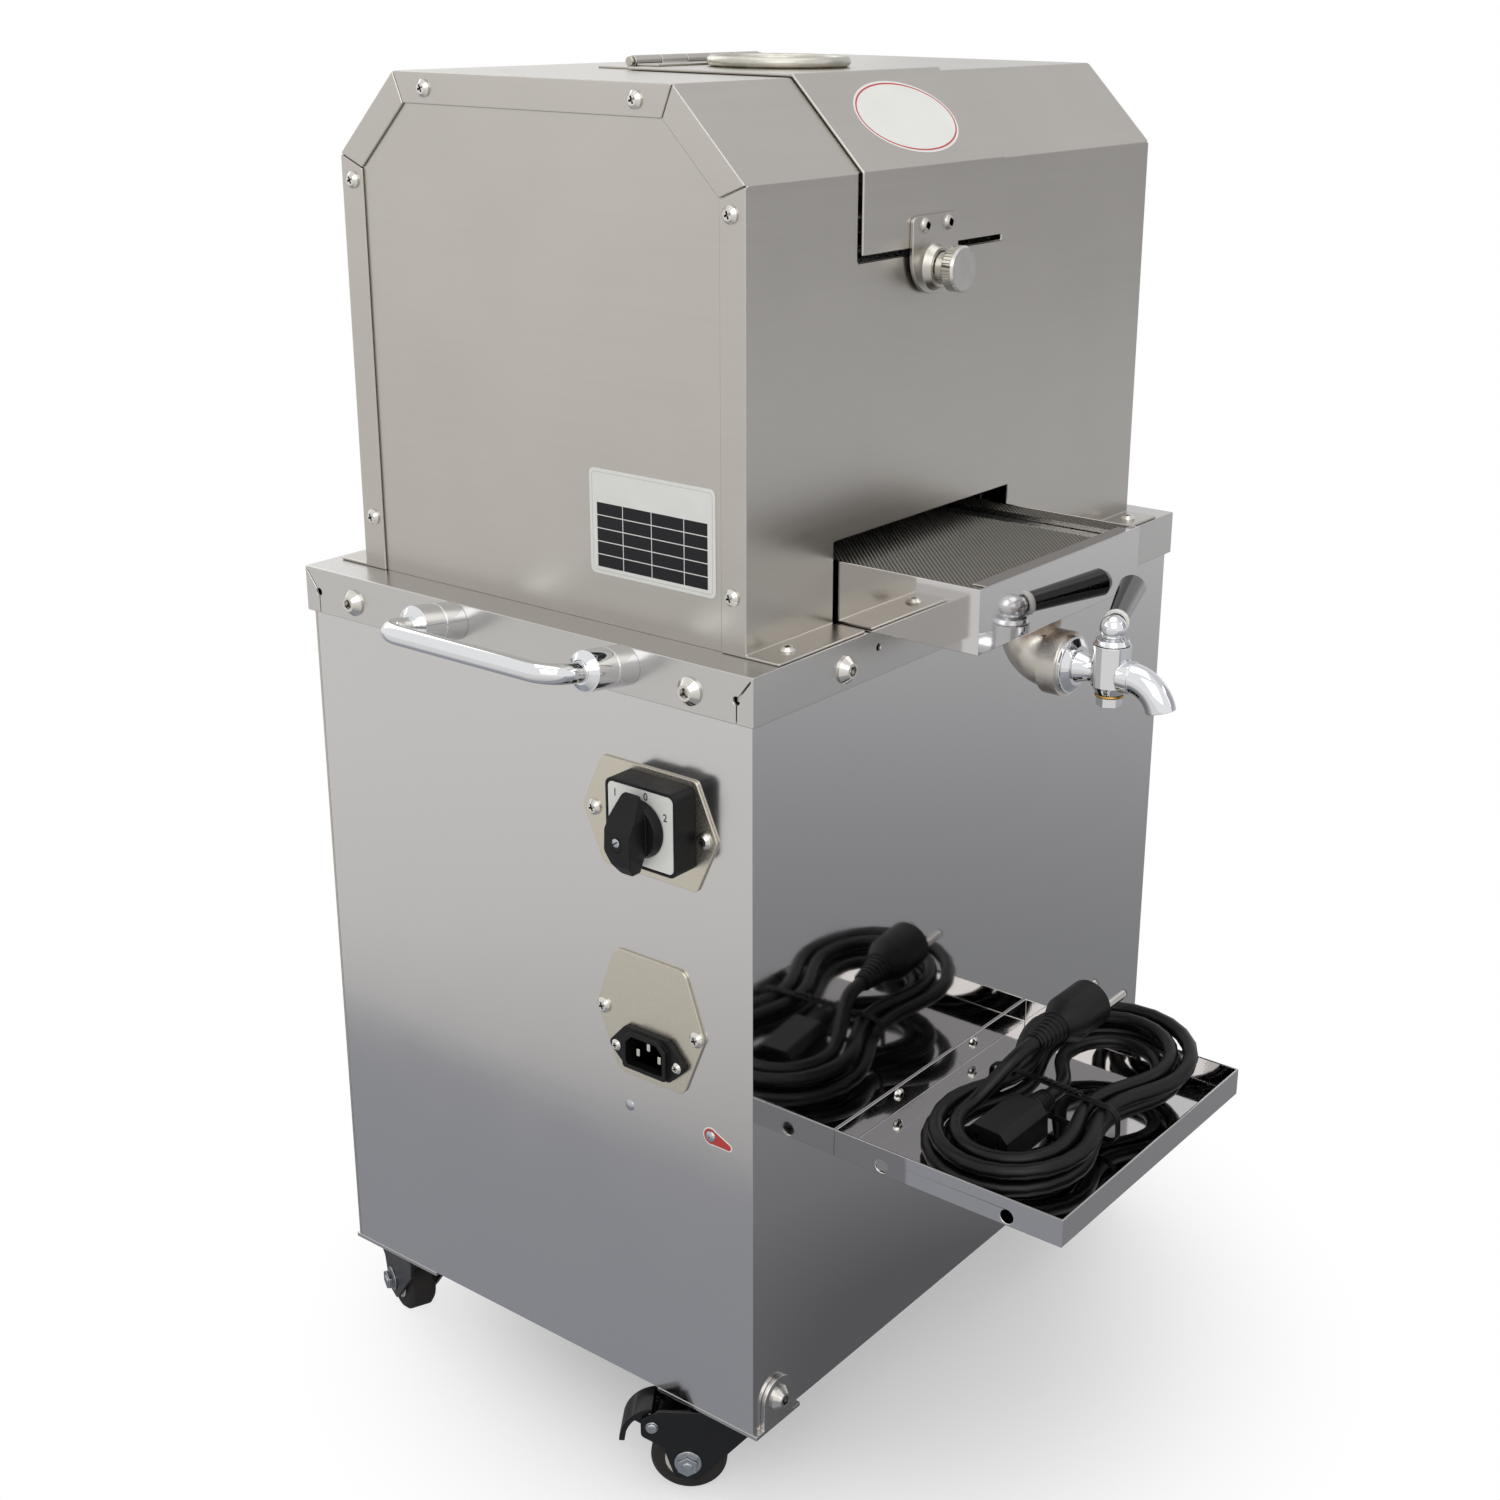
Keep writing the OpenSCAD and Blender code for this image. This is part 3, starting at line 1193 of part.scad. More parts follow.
// Curved toe plate on two ears, with the pivot pin
module caster_brake(i) color("black") at_caster(i) {
    pedal_half = fork_in - 0.4;
    toe_mid = [pedal_pivot[0] - 3, pedal_pivot[1] - 11];
    along_x(-pedal_half, 2 * pedal_half) intersection() {
        translate(toe_mid) difference() {
            circle(r = pedal_r);
            circle(r = pedal_r - 3);
        }
        translate(toe_mid) polygon([[0, 0], [40, 0], [40, 40], [6, 40]]);
    }
    for (x = [-pedal_half, pedal_half - 2.5]) along_x(x, 2.5) {
        translate(pedal_pivot) circle(d = 9);
        translate(pedal_pivot) rotate(30) translate([0, -3]) square([9.5, 6]);
    }
    translate([0, pedal_pivot[0], pedal_pivot[1]]) {
        x_rod(4, -fork_in - fork_t - 0.3, fork_in + fork_t + 0.3);
        for (x = [-fork_in - fork_t - 1.5, fork_in + fork_t + 0.3]) x_rod(6.5, x, x + 1.2);
    }
}

module caster_fork_fl() caster_fork(0);
module caster_fork_fr() caster_fork(1);
module caster_fork_rl() caster_fork(2);
module caster_fork_rr() caster_fork(3);
module caster_wheel_fl() caster_wheel(0);
module caster_wheel_fr() caster_wheel(1);
module caster_wheel_rl() caster_wheel(2);
module caster_wheel_rr() caster_wheel(3);
module caster_brake_fl() caster_brake(0);
module caster_brake_fr() caster_brake(1);
module caster_brake_rl() caster_brake(2);
module caster_brake_rr() caster_brake(3);

// Power cord, tied in a hank on the shelf tray: u along the hank, v across it, w up from the tray's floor

hank_mid = [tray_x + 6, front_y - 77];
hank_yaw = -4;
hank_tilt = 4.7;
hank_half = 44;
hank_r = 25.5;
hank_step = cord_d + 2.4;
hank_waist = 12;
layer = cord_d + 0.8;
connector_v = 3;
connector_w = 10.3;
plug_v = 20;
plug_w = cord_d + layer + 14;
loops = 4;
loop_rings = 24;
lead_from = -8;
lead_to = hank_half;
plug_from = 4;
// The upper layer winds in a little slower than the lower one winds out
wind_in = 0.98;
hank_end = hank_half + hank_r + hank_step * loops / 2 + cord_d / 2;

module in_hank() place() translate([hank_mid[0], hank_mid[1], tray_z + tray_t + hair])
        rotate([0, 0, hank_yaw])
    translate([-hank_end, 0, 0]) rotate([0, -hank_tilt, 0]) translate([hank_end, 0, 0]) children();

function ease(s) = (1 - cos(180 * s)) / 2;
// Radius of the loops: out for half of them, then in again one layer up
function hank_radius(t) = hank_r + hank_step * (t < loops / 2 ? t : loops / 2 - wind_in * (t - loops / 2));
function hank_w(t) = cord_d / 2 + layer * ease(min(1, max(0, 4 * (t - loops / 2 + 0.25))));
function waist(u) = hank_waist * pow(cos(90 * u / hank_half), 2);
// One turn: right end, front run, left end, rear run
function hank_point(t) =
    let (
        r = hank_radius(t),
        q = 4 * (t - floor(t)),
        f = q - floor(q),
        run = hank_half * (1 - 2 * f)
    )
    q < 1 ? [hank_half + r * cos(90 - 180 * f), r * sin(90 - 180 * f), hank_w(t)] :
    q < 2 ? [run, -r + waist(run), hank_w(t)] :
    q < 3 ? [-hank_half + r * cos(270 - 180 * f), r * sin(270 - 180 * f), hank_w(t)] :
    [-run, r - waist(run), hank_w(t)];

last_turn = loops - 0.25;
lead_in = concat([[lead_from, connector_v, connector_w]],
    [for (s = [0:0.25:0.76]) let (u = lead_from + cord_d + s * (lead_to - lead_from - cord_d))
        [u, connector_v + (hank_radius(0) - connector_v) * ease(s),
                connector_w + (cord_d / 2 - connector_w) * ease(s)]]);
turns = [for (i = [0:round(last_turn * loop_rings)]) hank_point(i / loop_rings)];
lead_end = hank_point(last_turn);
lead_out = concat([for (s = [0.14:0.143:1.01])
        let (u = lead_end[0] + s * (plug_from - cord_d - lead_end[0]))
        [u, lead_end[1] + (plug_v - lead_end[1]) * ease(s),
                lead_end[2] + (plug_w - lead_end[2]) * ease(s)]],
    [[plug_from, plug_v, plug_w]]);
cord_path = concat(lead_in, turns, lead_out);

// Least gap of the cord to itself, between points more than a few diameters apart along it
function cord_gaps(skip) = [for (i = [0:len(cord_path) - 1 - skip], j = [i + skip:len(cord_path) - 1])
    norm(cord_path[i] - cord_path[j]) - cord_d];
echo(least_cord_gap = min(cord_gaps(6)));
function run_length(i = 1) = i >= len(cord_path) ? 0 :
        norm(cord_path[i] - cord_path[i - 1]) + run_length(i + 1);
echo(cord_length = run_length());

function unit(v) = v / norm(v);
cord_sides = 8;
function cord_ring(i) =
    let (
        last = len(cord_path) - 1,
        along = i == 0 || i == last ? [1, 0, 0] : unit(cord_path[i + 1] - cord_path[i - 1]),
        side = unit(cross(along, [0, 0, 1])),
        up = cross(side, along)
    )
    [for (k = [0:cord_sides - 1])
            cord_path[i] + cord_d / 2 * (cos(360 * k / cord_sides) * side
            + sin(360 * k / cord_sides) * up)];

module cord_hank() color("black") in_hank() {
    rings = len(cord_path);
    polyhedron(
        points = [for (i = [0:rings - 1], p = cord_ring(i)) p],
        faces = concat(
            [[for (k = [0:cord_sides - 1]) k]],
            [for (i = [0:rings - 2], k = [0:cord_sides - 1], half = [0, 1])
                let (a = i * cord_sides + k, b = i * cord_sides + (k + 1) % cord_sides)
                half == 0 ? [a, a + cord_sides, b] : [b, a + cord_sides, b + cord_sides]],
            [[for (k = [cord_sides - 1:-1:0]) (rings - 1) * cord_sides + k]]));
}

// Appliance connector with its three contact slots and a tapered strain relief
module cord_connector() color("black") in_hank() translate([lead_from - 54, connector_v, connector_w]) {
    body_len = 36;
    difference() {
        union() {
            along_x(0, body_len) polygon(round_path([[-13, -9.8], [13, -9.8], [13, 5], [8.5, 9.8],
                    [-8.5, 9.8], [-13, 5]], 1.5, 2));
            translate([body_len, 0, 0]) rotate([0, 90, 0]) cylinder(d1 = 16, d2 = cord_d + 1.6, h = 18);
        }
        for (p = [[-7, 2], [0, -3], [7, 2]])
            span_box([-1, p[0] - 1.1, p[1] - 2.2], [10, p[0] + 1.1, p[1] + 2.2]);
    }
}

// Two-pin plug with side grips and a tapered strain relief
module cord_plug() color("black") in_hank() translate([plug_from, plug_v, plug_w]) {
    relief = 20;
    body_d = 27;
    body_len = 33;
    rotate([0, 90, 0]) {
        cylinder(d1 = cord_d + 1.6, d2 = 16, h = relief);
        translate([0, 0, relief]) cylinder(d1 = 18, d2 = body_d, h = 10);
        translate([0, 0, relief + 10]) cylinder(d = body_d, h = body_len - 10);
        for (s = [-1, 1]) translate([0, s * 9.5, relief + body_len]) cylinder(d = 4.8, h = 19);
    }
}

// Wire tie round the waist
module cord_tie() color("black") in_hank() {
    tie_t = 1.4;
    tie_len = 4;
    tie_half = hank_radius(loops / 2) - hank_waist + cord_d / 2 + 0.6;
    tie_h = cord_d + layer + 0.4;
    translate([-9, 0, tie_h / 2]) along_x(0, tie_len) difference() {
        round_rect(2 * (tie_half + tie_t), tie_h + 2 * tie_t, 6);
        round_rect(2 * tie_half, tie_h, 4.6);
    }
}

cabinet_shell();
back_panel();
base_plate();
worktop();
button_screws();
corner_brackets();
housing_wrap();
side_plate_left();
side_plate_right();
pan_screws();
side_handles();
switch_plate();
switch_body();
switch_knob();
inlet_plate();
inlet_socket();
shelf_tray();
cheek_plates();
roller_bushes();
tie_bars();
bagasse_chute();
drive_motor();
gearbox();
drive_chain();
hinge_fixed_leaf();
feed_lid();
feed_tube();
hinge_moving_leaf();
latch_bracket();
latch_screw();
juice_pan();
strainer();
pipe_elbow();
tap_body();
tap_plug();
tap_grip();
roller_top();
roller_feed();
roller_discharge();
gear_top();
gear_feed();
gear_discharge();
drive_sprocket();
motor_sprocket();
caster_fork_fl();
caster_fork_fr();
caster_fork_rl();
caster_fork_rr();
caster_wheel_fl();
caster_wheel_fr();
caster_wheel_rl();
caster_wheel_rr();
caster_brake_fl();
caster_brake_fr();
caster_brake_rl();
caster_brake_rr();
cord_hank();
cord_connector();
cord_plug();
cord_tie();
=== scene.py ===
"""Looks of an electric sugarcane juicer on a caster cabinet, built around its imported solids.

Every length is in metres unless a name or comment says millimetres. Millimetre places are measured from
the middle of the worktop's top face: x to the right of the front, y to the rear, z up.
"""

import math

import bmesh
import bpy
from bpy.props import FloatProperty, FloatVectorProperty, IntProperty, PointerProperty
from mathutils import Matrix, Vector


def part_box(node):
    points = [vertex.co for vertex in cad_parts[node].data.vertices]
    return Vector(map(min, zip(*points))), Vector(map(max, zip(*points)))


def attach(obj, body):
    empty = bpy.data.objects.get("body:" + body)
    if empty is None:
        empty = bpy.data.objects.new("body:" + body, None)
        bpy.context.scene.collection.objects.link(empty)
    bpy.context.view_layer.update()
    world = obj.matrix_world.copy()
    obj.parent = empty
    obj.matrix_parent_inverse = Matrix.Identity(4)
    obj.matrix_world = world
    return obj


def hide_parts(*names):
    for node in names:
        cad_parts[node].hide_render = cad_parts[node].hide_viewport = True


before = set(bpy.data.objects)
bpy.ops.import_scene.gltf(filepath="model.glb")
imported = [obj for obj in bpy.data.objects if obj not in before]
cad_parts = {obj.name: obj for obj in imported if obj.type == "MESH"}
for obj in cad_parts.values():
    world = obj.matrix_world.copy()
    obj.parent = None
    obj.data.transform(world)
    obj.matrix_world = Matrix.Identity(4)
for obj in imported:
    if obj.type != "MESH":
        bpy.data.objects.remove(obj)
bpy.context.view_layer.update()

MM = 0.001

bl_info = {
    "name": "Sugarcane juicer looks",
    "version": (1, 0, 0),
    "blender": (4, 5, 0),
    "location": "View3D > Sidebar > Juicer",
    "description": "Stage, finishes and small trim for the packed sugarcane juicer",
    "category": "Object",
}

LOW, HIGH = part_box("worktop")
MIDDLE = Vector(((LOW.x + HIGH.x) / 2, (LOW.y + HIGH.y) / 2, HIGH.z))
# Casters: which side, which end, and how far each is swivelled in degrees
CORNERS = {"fl": (-1, -1, 35), "fr": (1, -1, 0), "rl": (-1, 1, -23), "rr": (1, 1, 0)}
DIAGONAL = 0.70711
# Axes of a flat piece seen from outside: its right, its up, its outward normal
ON_LEFT_WALL = ((0, -1, 0), (0, 0, 1), (-1, 0, 0))
ON_LID_SLOPE = ((1, 0, 0), (0, DIAGONAL, DIAGONAL), (0, -DIAGONAL, DIAGONAL))
WHITE = (1, 1, 1, 1)
SMOOTH_BELOW = math.radians(35)


def linear(code):
    """An sRGB hex colour as linear red, green and blue."""
    parts = [int(code[i:i + 2], 16) / 255 for i in (0, 2, 4)]
    return tuple(c / 12.92 if c <= 0.04045 else ((c + 0.055) / 1.055) ** 2.4 for c in parts)


def at(x, y, z):
    """A place in millimetres from the worktop's middle, in metres in the frame."""
    return MIDDLE + Vector((x, y, z)) * MM


def shifted(x, y, z):
    """A move by millimetres."""
    return Matrix.Translation(Vector((x, y, z)) * MM)


def turned(degrees, axis="Z"):
    """A turn about one axis."""
    return Matrix.Rotation(math.radians(degrees), 4, axis)


def axes(origin, columns, turn=0.0):
    """A matrix whose columns are those axes, turned about its own normal."""
    return Matrix.Translation(origin) @ Matrix(columns).transposed().to_4x4() @ turned(turn)


def on_left(plane, y, z, turn=0.0):
    """A place on a face that looks left: its plane's x in metres, y and z in millimetres."""
    spot = at(0, y, z)
    return axes(Vector((plane, spot.y, spot.z)), ON_LEFT_WALL, turn)


def colour(label, about, code):
    return FloatVectorProperty(name=label, description=about, subtype="COLOR", size=3, min=0, max=1,
                               default=linear(code))


def length(label, about, default, low=0.0, high=3.0):
    return FloatProperty(name=label, description=about, unit="LENGTH", subtype="DISTANCE", default=default,
                         min=low, max=high, precision=4)


class JuicerFinish(bpy.types.PropertyGroup):
    """Colours of the juicer's finishes"""
    polished: colour("Polished sheet", "Mirror-polished stainless of the cabinet, pan and tray", "cfcdcc")
    brushed: colour("Brushed sheet", "Brushed stainless of the mill housing", "c3bfb8")
    satin: colour("Satin sheet", "Satin stainless of the worktop and the corner brackets", "c9c7c4")
    champagne: colour("Control plates", "Warm satin stainless of the switch and inlet plates", "d2ccbe")
    nickel: colour("Screws", "Bright nickel-plated fasteners", "d8d5cf")
    chrome: colour("Chrome", "Chrome plate of the tap and handles", "dfe0e2")
    cast: colour("Cast elbow", "Pickled cast stainless of the pipe elbow", "e4dfd6")
    tint: colour("Heat tint", "Brown oxide left by welding", "6f4a2a")
    moulding: colour("Black mouldings", "Black plastic of the switch, inlet and plugs", "0f0f11")
    flex: colour("Cord jacket", "Black PVC jacket of the power cord", "0b0b0d")
    enamel: colour("Caster enamel", "Black enamel on the caster forks and pedals", "101012")
    tyre: colour("Caster tyre", "Dark rubber of the caster wheels", "2e2b29")
    lacquer: colour("Plate lacquer", "White lacquer of the rating plate and the dial", "f1f1ec")
    # This dark also paints the shade of the knob screw's slot
    ink: colour("Plate print", "Dark print of the rating plate's cells", "14141c")
    red: colour("Red print", "Red of the oval ring and the earth mark", "c22b25")


class JuicerSize(bpy.types.PropertyGroup):
    """Sizes of the pieces that are added to the solids"""
    cord_length: length("Cord length", "Length of the power cord between connector and plug", 1.66, 0.5, 3)
    cord_diameter: length("Cord diameter", "Diameter of the power cord", 0.0084, 0.006, 0.01)
    plate_width: length("Rating plate width", "Width of the rating plate", 0.0784, 0.05, 0.1)
    plate_height: length("Rating plate height", "Height of the rating plate", 0.052, 0.03, 0.07)
    oval_width: length("Oval width", "Width of the oval sticker on the lid", 0.078, 0.04, 0.1)
    oval_height: length("Oval height", "Height of the oval sticker on the lid", 0.045, 0.03, 0.054)
    wire_pitch: length("Screen pitch", "Distance between the screen's wires", 0.0014, 0.001, 0.006)
    wire_diameter: length("Screen wire", "Diameter of the screen's wires", 0.0008, 0.0003, 0.0012)
    edge: length("Edge radius", "Break of the sheet edges", 0.0004, 0.0001, 0.001)
    lens: FloatProperty(name="Lens", description="Focal length of the camera in millimetres", unit="CAMERA",
                        default=50.22)
    ribs: IntProperty(name="Relief ribs", description="Ribs on each strain relief", default=6, min=3, max=9)


# Materials


def add(tree, kind, inputs=None, **settings):
    """Adds one node with its settings. An input is a value, or the output that feeds it."""
    node = tree.nodes.new("ShaderNode" + kind)
    for name, value in settings.items():
        setattr(node, name, value)
    for name, value in (inputs or {}).items():
        if isinstance(value, bpy.types.NodeSocket):
            tree.links.new(value, node.inputs[name])
        else:
            node.inputs[name].default_value = value
    return node


def begin(name, tone, metallic, roughness, **others):
    """A new material: its tree, its shader, and the place on the object in its own coordinates."""
    mat = bpy.data.materials.new(name)
    mat.use_nodes = True
    tree = mat.node_tree
    shader = tree.nodes["Principled BSDF"]
    constants = {"Base Color": (*tone, 1), "Metallic": metallic, "Roughness": roughness, **others}
    for socket, value in constants.items():
        shader.inputs[socket].default_value = value
    return tree, shader, add(tree, "TexCoord").outputs["Object"]


def per_mm(size):
    """Noise scale whose features are about that many millimetres wide."""
    return 1 / (size * MM)


def darker(tone, share):
    return (*(c * share for c in tone), 1)


def surface(tree, shader, tone, gloss, limits, relief, depth, strength=1.0):
    """Links a tone, a roughness that follows one noise between two limits, and the relief of another, whose
    depth is in millimetres."""
    rough = add(tree, "MapRange", {0: gloss.outputs[0], 1: 0.3, 2: 0.7, 3: limits[0], 4: limits[1]})
    bump = add(tree, "Bump", {"Strength": strength, "Distance": depth * MM, "Height": relief.outputs[0]})
    tree.links.new(tone.outputs[2], shader.inputs["Base Color"])
    tree.links.new(rough.outputs[0], shader.inputs["Roughness"])
    tree.links.new(bump.outputs[0], shader.inputs["Normal"])


def polished_sheet(name, tone, duller):
    # Stainless sheet with a rolled mirror polish: clear reflections that waver with the thin sheet, fine
    # rolling lines up the wall, drawn coarser than they are, to show, and wiping marks. Faces to the side may
    # keep their duller mill finish.
    tree, shader, place = begin(name, tone, metallic=1.0, roughness=0.06)
    normal = add(tree, "SeparateXYZ", {0: add(tree, "TexCoord").outputs["Normal"]})
    side = add(tree, "Math", {0: normal.outputs[0]}, operation="ABSOLUTE")
    dull = add(tree, "MapRange", {0: side.outputs[0], 1: 0.6, 2: 0.95, 3: 0.0, 4: duller})
    smear = add(tree, "TexNoise", {"Vector": place, "Scale": per_mm(45), "Detail": 5.0})
    haze = add(tree, "MapRange", {0: smear.outputs[0], 1: 0.35, 2: 0.7, 3: 0.035, 4: 0.075})
    rough = add(tree, "Math", {0: dull.outputs[0], 1: haze.outputs[0]}, operation="ADD")
    tree.links.new(rough.outputs[0], shader.inputs["Roughness"])
    rows = add(tree, "Mapping", {"Vector": place, "Scale": (per_mm(2), per_mm(2), per_mm(300))})
    lines = add(tree, "TexNoise", {"Vector": rows.outputs[0], "Scale": 1.0, "Detail": 3.0})
    wave = add(tree, "TexNoise", {"Vector": place, "Scale": per_mm(150), "Detail": 1.0})
    sheet = add(tree, "Bump", {"Strength": 1.0, "Distance": 0.25 * MM, "Height": wave.outputs[0]})
    rolled = add(tree, "Bump", {"Strength": 1.0, "Distance": 0.0012 * MM, "Height": lines.outputs[0],
                                "Normal": sheet.outputs[0]})
    tree.links.new(rolled.outputs[0], shader.inputs["Normal"])


def brushed_sheet(name, tone, stretch, gloss, contrast=0.08):
    # Stainless sheet brushed with a belt: short grit lines along the sheet blur what it reflects across them,
    # with faint handling marks and small changes of gloss. The lines are drawn coarser than grit, to show.
    tree, shader, place = begin(name, tone, metallic=1.0, roughness=gloss)
    rows = add(tree, "Mapping", {"Vector": place, "Scale": stretch})
    grit = add(tree, "TexNoise", {"Vector": rows.outputs[0], "Scale": 1.0, "Detail": 1.0})
    marks = add(tree, "TexNoise", {"Vector": place, "Scale": per_mm(70), "Detail": 6.0})
    handled = add(tree, "MapRange", {0: marks.outputs[0], 1: 0.3, 2: 0.7, 3: 0.0, 4: 0.5})
    streak = add(tree, "MapRange", {0: grit.outputs[0], 1: 0.2, 2: 0.8, 3: 0.0, 4: 0.3})
    share = add(tree, "Math", {0: handled.outputs[0], 1: streak.outputs[0]}, operation="ADD")
    mixed = add(tree, "Mix", {0: share.outputs[0], 6: darker(tone, 1 - contrast), 7: (*tone, 1)},
                data_type="RGBA")
    surface(tree, shader, mixed, grit, (gloss * 0.97, gloss * 1.05), grit, 0.01 * contrast)


def grained_metal(name, tone, roughness, grain, depth, dark_share=0.85, hollow=0.0):
    # Metal whose surface carries an even grain: blasted, cast, tumbled or plated over a rough base. Recesses
    # narrower than the hollow's millimetres get painted shade: a near-black that ambient occlusion mixes in.
    tree, shader, place = begin(name, tone, metallic=1.0, roughness=roughness)
    noise = add(tree, "TexNoise", {"Vector": place, "Scale": per_mm(grain), "Detail": 5.0})
    mixed = add(tree, "Mix", {0: noise.outputs[0], 6: darker(tone, dark_share), 7: (*tone, 1)},
                data_type="RGBA")
    if hollow:
        # Painted shade: this near-black goes wherever ambient occlusion finds a recess, standing in for its
        # shadow
        grime = (*linear("1e1c1a"), 1)
        open_share = add(tree, "AmbientOcclusion", {"Distance": hollow * MM}, samples=6, only_local=True)
        clean = add(tree, "MapRange", {0: open_share.outputs["AO"], 1: 0.45, 2: 0.85, 3: 0.0, 4: 1.0})
        mixed = add(tree, "Mix", {0: clean.outputs[0], 6: grime, 7: mixed.outputs[2]}, data_type="RGBA")
    surface(tree, shader, mixed, noise, (roughness * 0.8, roughness * 1.3), noise, depth)


def tinted_casting(name, tone, tint, grain, depth, cover, clean, tinted):
    # Cast or galvanised metal with brown and straw oxide in patches, left by welding and handling. The oxide
    # thickens from the clean height to the tinted one.
    grained_metal(name, tone, 0.36, grain, depth, 0.8)
    tree = bpy.data.materials[name].node_tree
    shader = tree.nodes["Principled BSDF"]
    place = add(tree, "TexCoord").outputs["Object"]
    patch = add(tree, "TexNoise", {"Vector": place, "Scale": per_mm(14), "Detail": 4.0})
    height = add(tree, "SeparateXYZ", {0: place})
    near = add(tree, "MapRange", {0: height.outputs[2], 1: clean, 2: tinted, 3: -0.1, 4: 0.35})
    heat = add(tree, "Math", {0: patch.outputs[0], 1: near.outputs[0]}, operation="ADD")
    share = add(tree, "MapRange", {0: heat.outputs[0], 1: 0.45, 2: 0.75, 3: 0.0, 4: cover})
    base = shader.inputs["Base Color"].links[0].from_socket
    mixed = add(tree, "Mix", {0: share.outputs[0], 6: base, 7: (*tint, 1)}, data_type="RGBA")
    tree.links.new(mixed.outputs[2], shader.inputs["Base Color"])


def moulded(name, tone, roughness, grain, depth, coat=0.0, shine=0.5):
    # Plastic, rubber, lacquer or enamel: one tone with slight mottling, and the grain of its mould or spray,
    # drawn coarser than it is, to show
    glaze = {"Specular IOR Level": shine, "Coat Weight": coat, "Coat Roughness": 0.08}
    tree, shader, place = begin(name, tone, metallic=0.0, roughness=roughness, **glaze)
    noise = add(tree, "TexNoise", {"Vector": place, "Scale": per_mm(grain), "Detail": 3.0})
    cloud = add(tree, "TexNoise", {"Vector": place, "Scale": per_mm(18), "Detail": 4.0})
    mixed = add(tree, "Mix", {0: cloud.outputs[0], 6: darker(tone, 0.9), 7: (*tone, 1)}, data_type="RGBA")
    surface(tree, shader, mixed, cloud, (roughness * 0.85, roughness * 1.2), noise, depth, 0.6)


def make_finishes(look):
    """Every finish of the juicer. A metal's numbers are its roughness, the width and depth of its grain in
    millimetres, and the tone of its dark grains. A moulding's are its roughness, grain, coat and shine."""
    elbow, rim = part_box("pipe_elbow")[1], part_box("feed_tube")[1]
    level_grit = (per_mm(120), per_mm(120), per_mm(1.8))
    polished_sheet("polished stainless sheet", look.polished, 0.0)
    polished_sheet("polished stainless wall", look.polished, 0.115)
    # Folded housing sheet, slightly warm
    brushed_sheet("brushed stainless sheet", look.brushed, level_grit, 0.3)
    brushed_sheet("brushed stainless side plate", look.brushed, level_grit, 0.32)
    # Worktop and brackets, a cooler and finer brush
    brushed_sheet("satin stainless sheet", look.satin, level_grit, 0.26, 0.05)
    # Rolled plate with a warm satin face and a fine grain
    grained_metal("warm satin stainless plate", look.champagne, 0.3, 0.8, 0.004, 0.92)
    # Tumbled nickel plate: bright, with soft small reflections, and painted shade in recesses under 1.6 mm
    grained_metal("nickel-plated steel", look.nickel, 0.16, 4.0, 0.002, 0.93, 1.6)
    # Decorative chrome: nearly a mirror, with a trace of the casting below
    grained_metal("chrome plate", look.chrome, 0.035, 6.0, 0.006, 0.97)
    # Sand-cast elbow, pickled grey, with weld tint
    tinted_casting("cast stainless", look.cast, look.tint, 0.9, 0.03, 0.7,
                   elbow.z - 12 * MM, elbow.z)
    # Tube rim with a straw tint over zinc
    tinted_casting("galvanised tube", linear("c6c4ba"), linear("85795a"), 2.5, 0.012, 0.5,
                   rim.z - 2 * MM, rim.z - 6.5 * MM)
    # Woven wire, drawn and slightly dull
    grained_metal("drawn stainless wire", linear("76736d"), 0.4, 2.0, 0.003, 0.8)
    # Turned rollers and machined cheeks
    grained_metal("turned stainless", linear("b6b5b2"), 0.28, 1.0, 0.005, 0.88)
    # Hobbed teeth and chain, darkened by oil
    grained_metal("oiled gear steel", linear("4b4b50"), 0.32, 3.0, 0.01, 0.7)
    # Turned bearing bronze
    grained_metal("turned bronze", linear("a8793f"), 0.3, 2.0, 0.005, 0.85)
    # Turned brass of the tap's washer
    grained_metal("turned brass", linear("c09a52"), 0.22, 1.5, 0.004, 0.85)
    # Passivated zinc with its cloudy spangle
    grained_metal("zinc-plated steel", linear("b9bcc0"), 0.3, 5.0, 0.006, 0.85)
    # Enamel sprayed on the gearmotor, slight orange peel
    moulded("grey-blue motor enamel", linear("55636f"), 0.38, 1.6, 0.02, 0.2)
    # Glass-filled plastic with a spark-eroded texture
    moulded("moulded black plastic", look.moulding, 0.42, 0.6, 0.012, shine=0.25)
    # Compression-moulded phenolic, glossy from the mould
    moulded("polished black phenolic", look.moulding, 0.14, 6.0, 0.004, 0.6)
    # Soft PVC jacket, waxy gloss
    moulded("black cord PVC", look.flex, 0.34, 0.9, 0.01, shine=0.25)
    # Thin enamel over pressed steel
    moulded("black enamel on pressed steel", look.enamel, 0.3, 1.2, 0.012, 0.2, 0.3)
    # Cast rubber tyre, dusty
    moulded("dark caster rubber", look.tyre, 0.62, 0.8, 0.03, shine=0.3)
    # Nylon hub ring, off-white and waxy
    moulded("off-white nylon", linear("d6d4cb"), 0.45, 1.0, 0.01)
    # Metal plate under clear lacquer, and the prints on it
    moulded("white lacquered plate", look.lacquer, 0.34, 3.0, 0.001)
    # The dark print also serves as painted shade in the knob screw's slot
    moulded("dark screen print", look.ink, 0.34, 3.0, 0.004, 0.2, 0.15)
    moulded("red screen print", look.red, 0.34, 3.0, 0.004, 0.2)


# Mesh tools


def full_turn(steps):
    """Angles that part a full turn into equal steps."""
    return [2 * math.pi * k / steps for k in range(steps)]


def band(bm, a, b):
    """A ring of faces between two loops of as many points."""
    for k in range(len(a)):
        n = (k + 1) % len(a)
        bm.faces.new((a[k], a[n], b[n], b[k]))


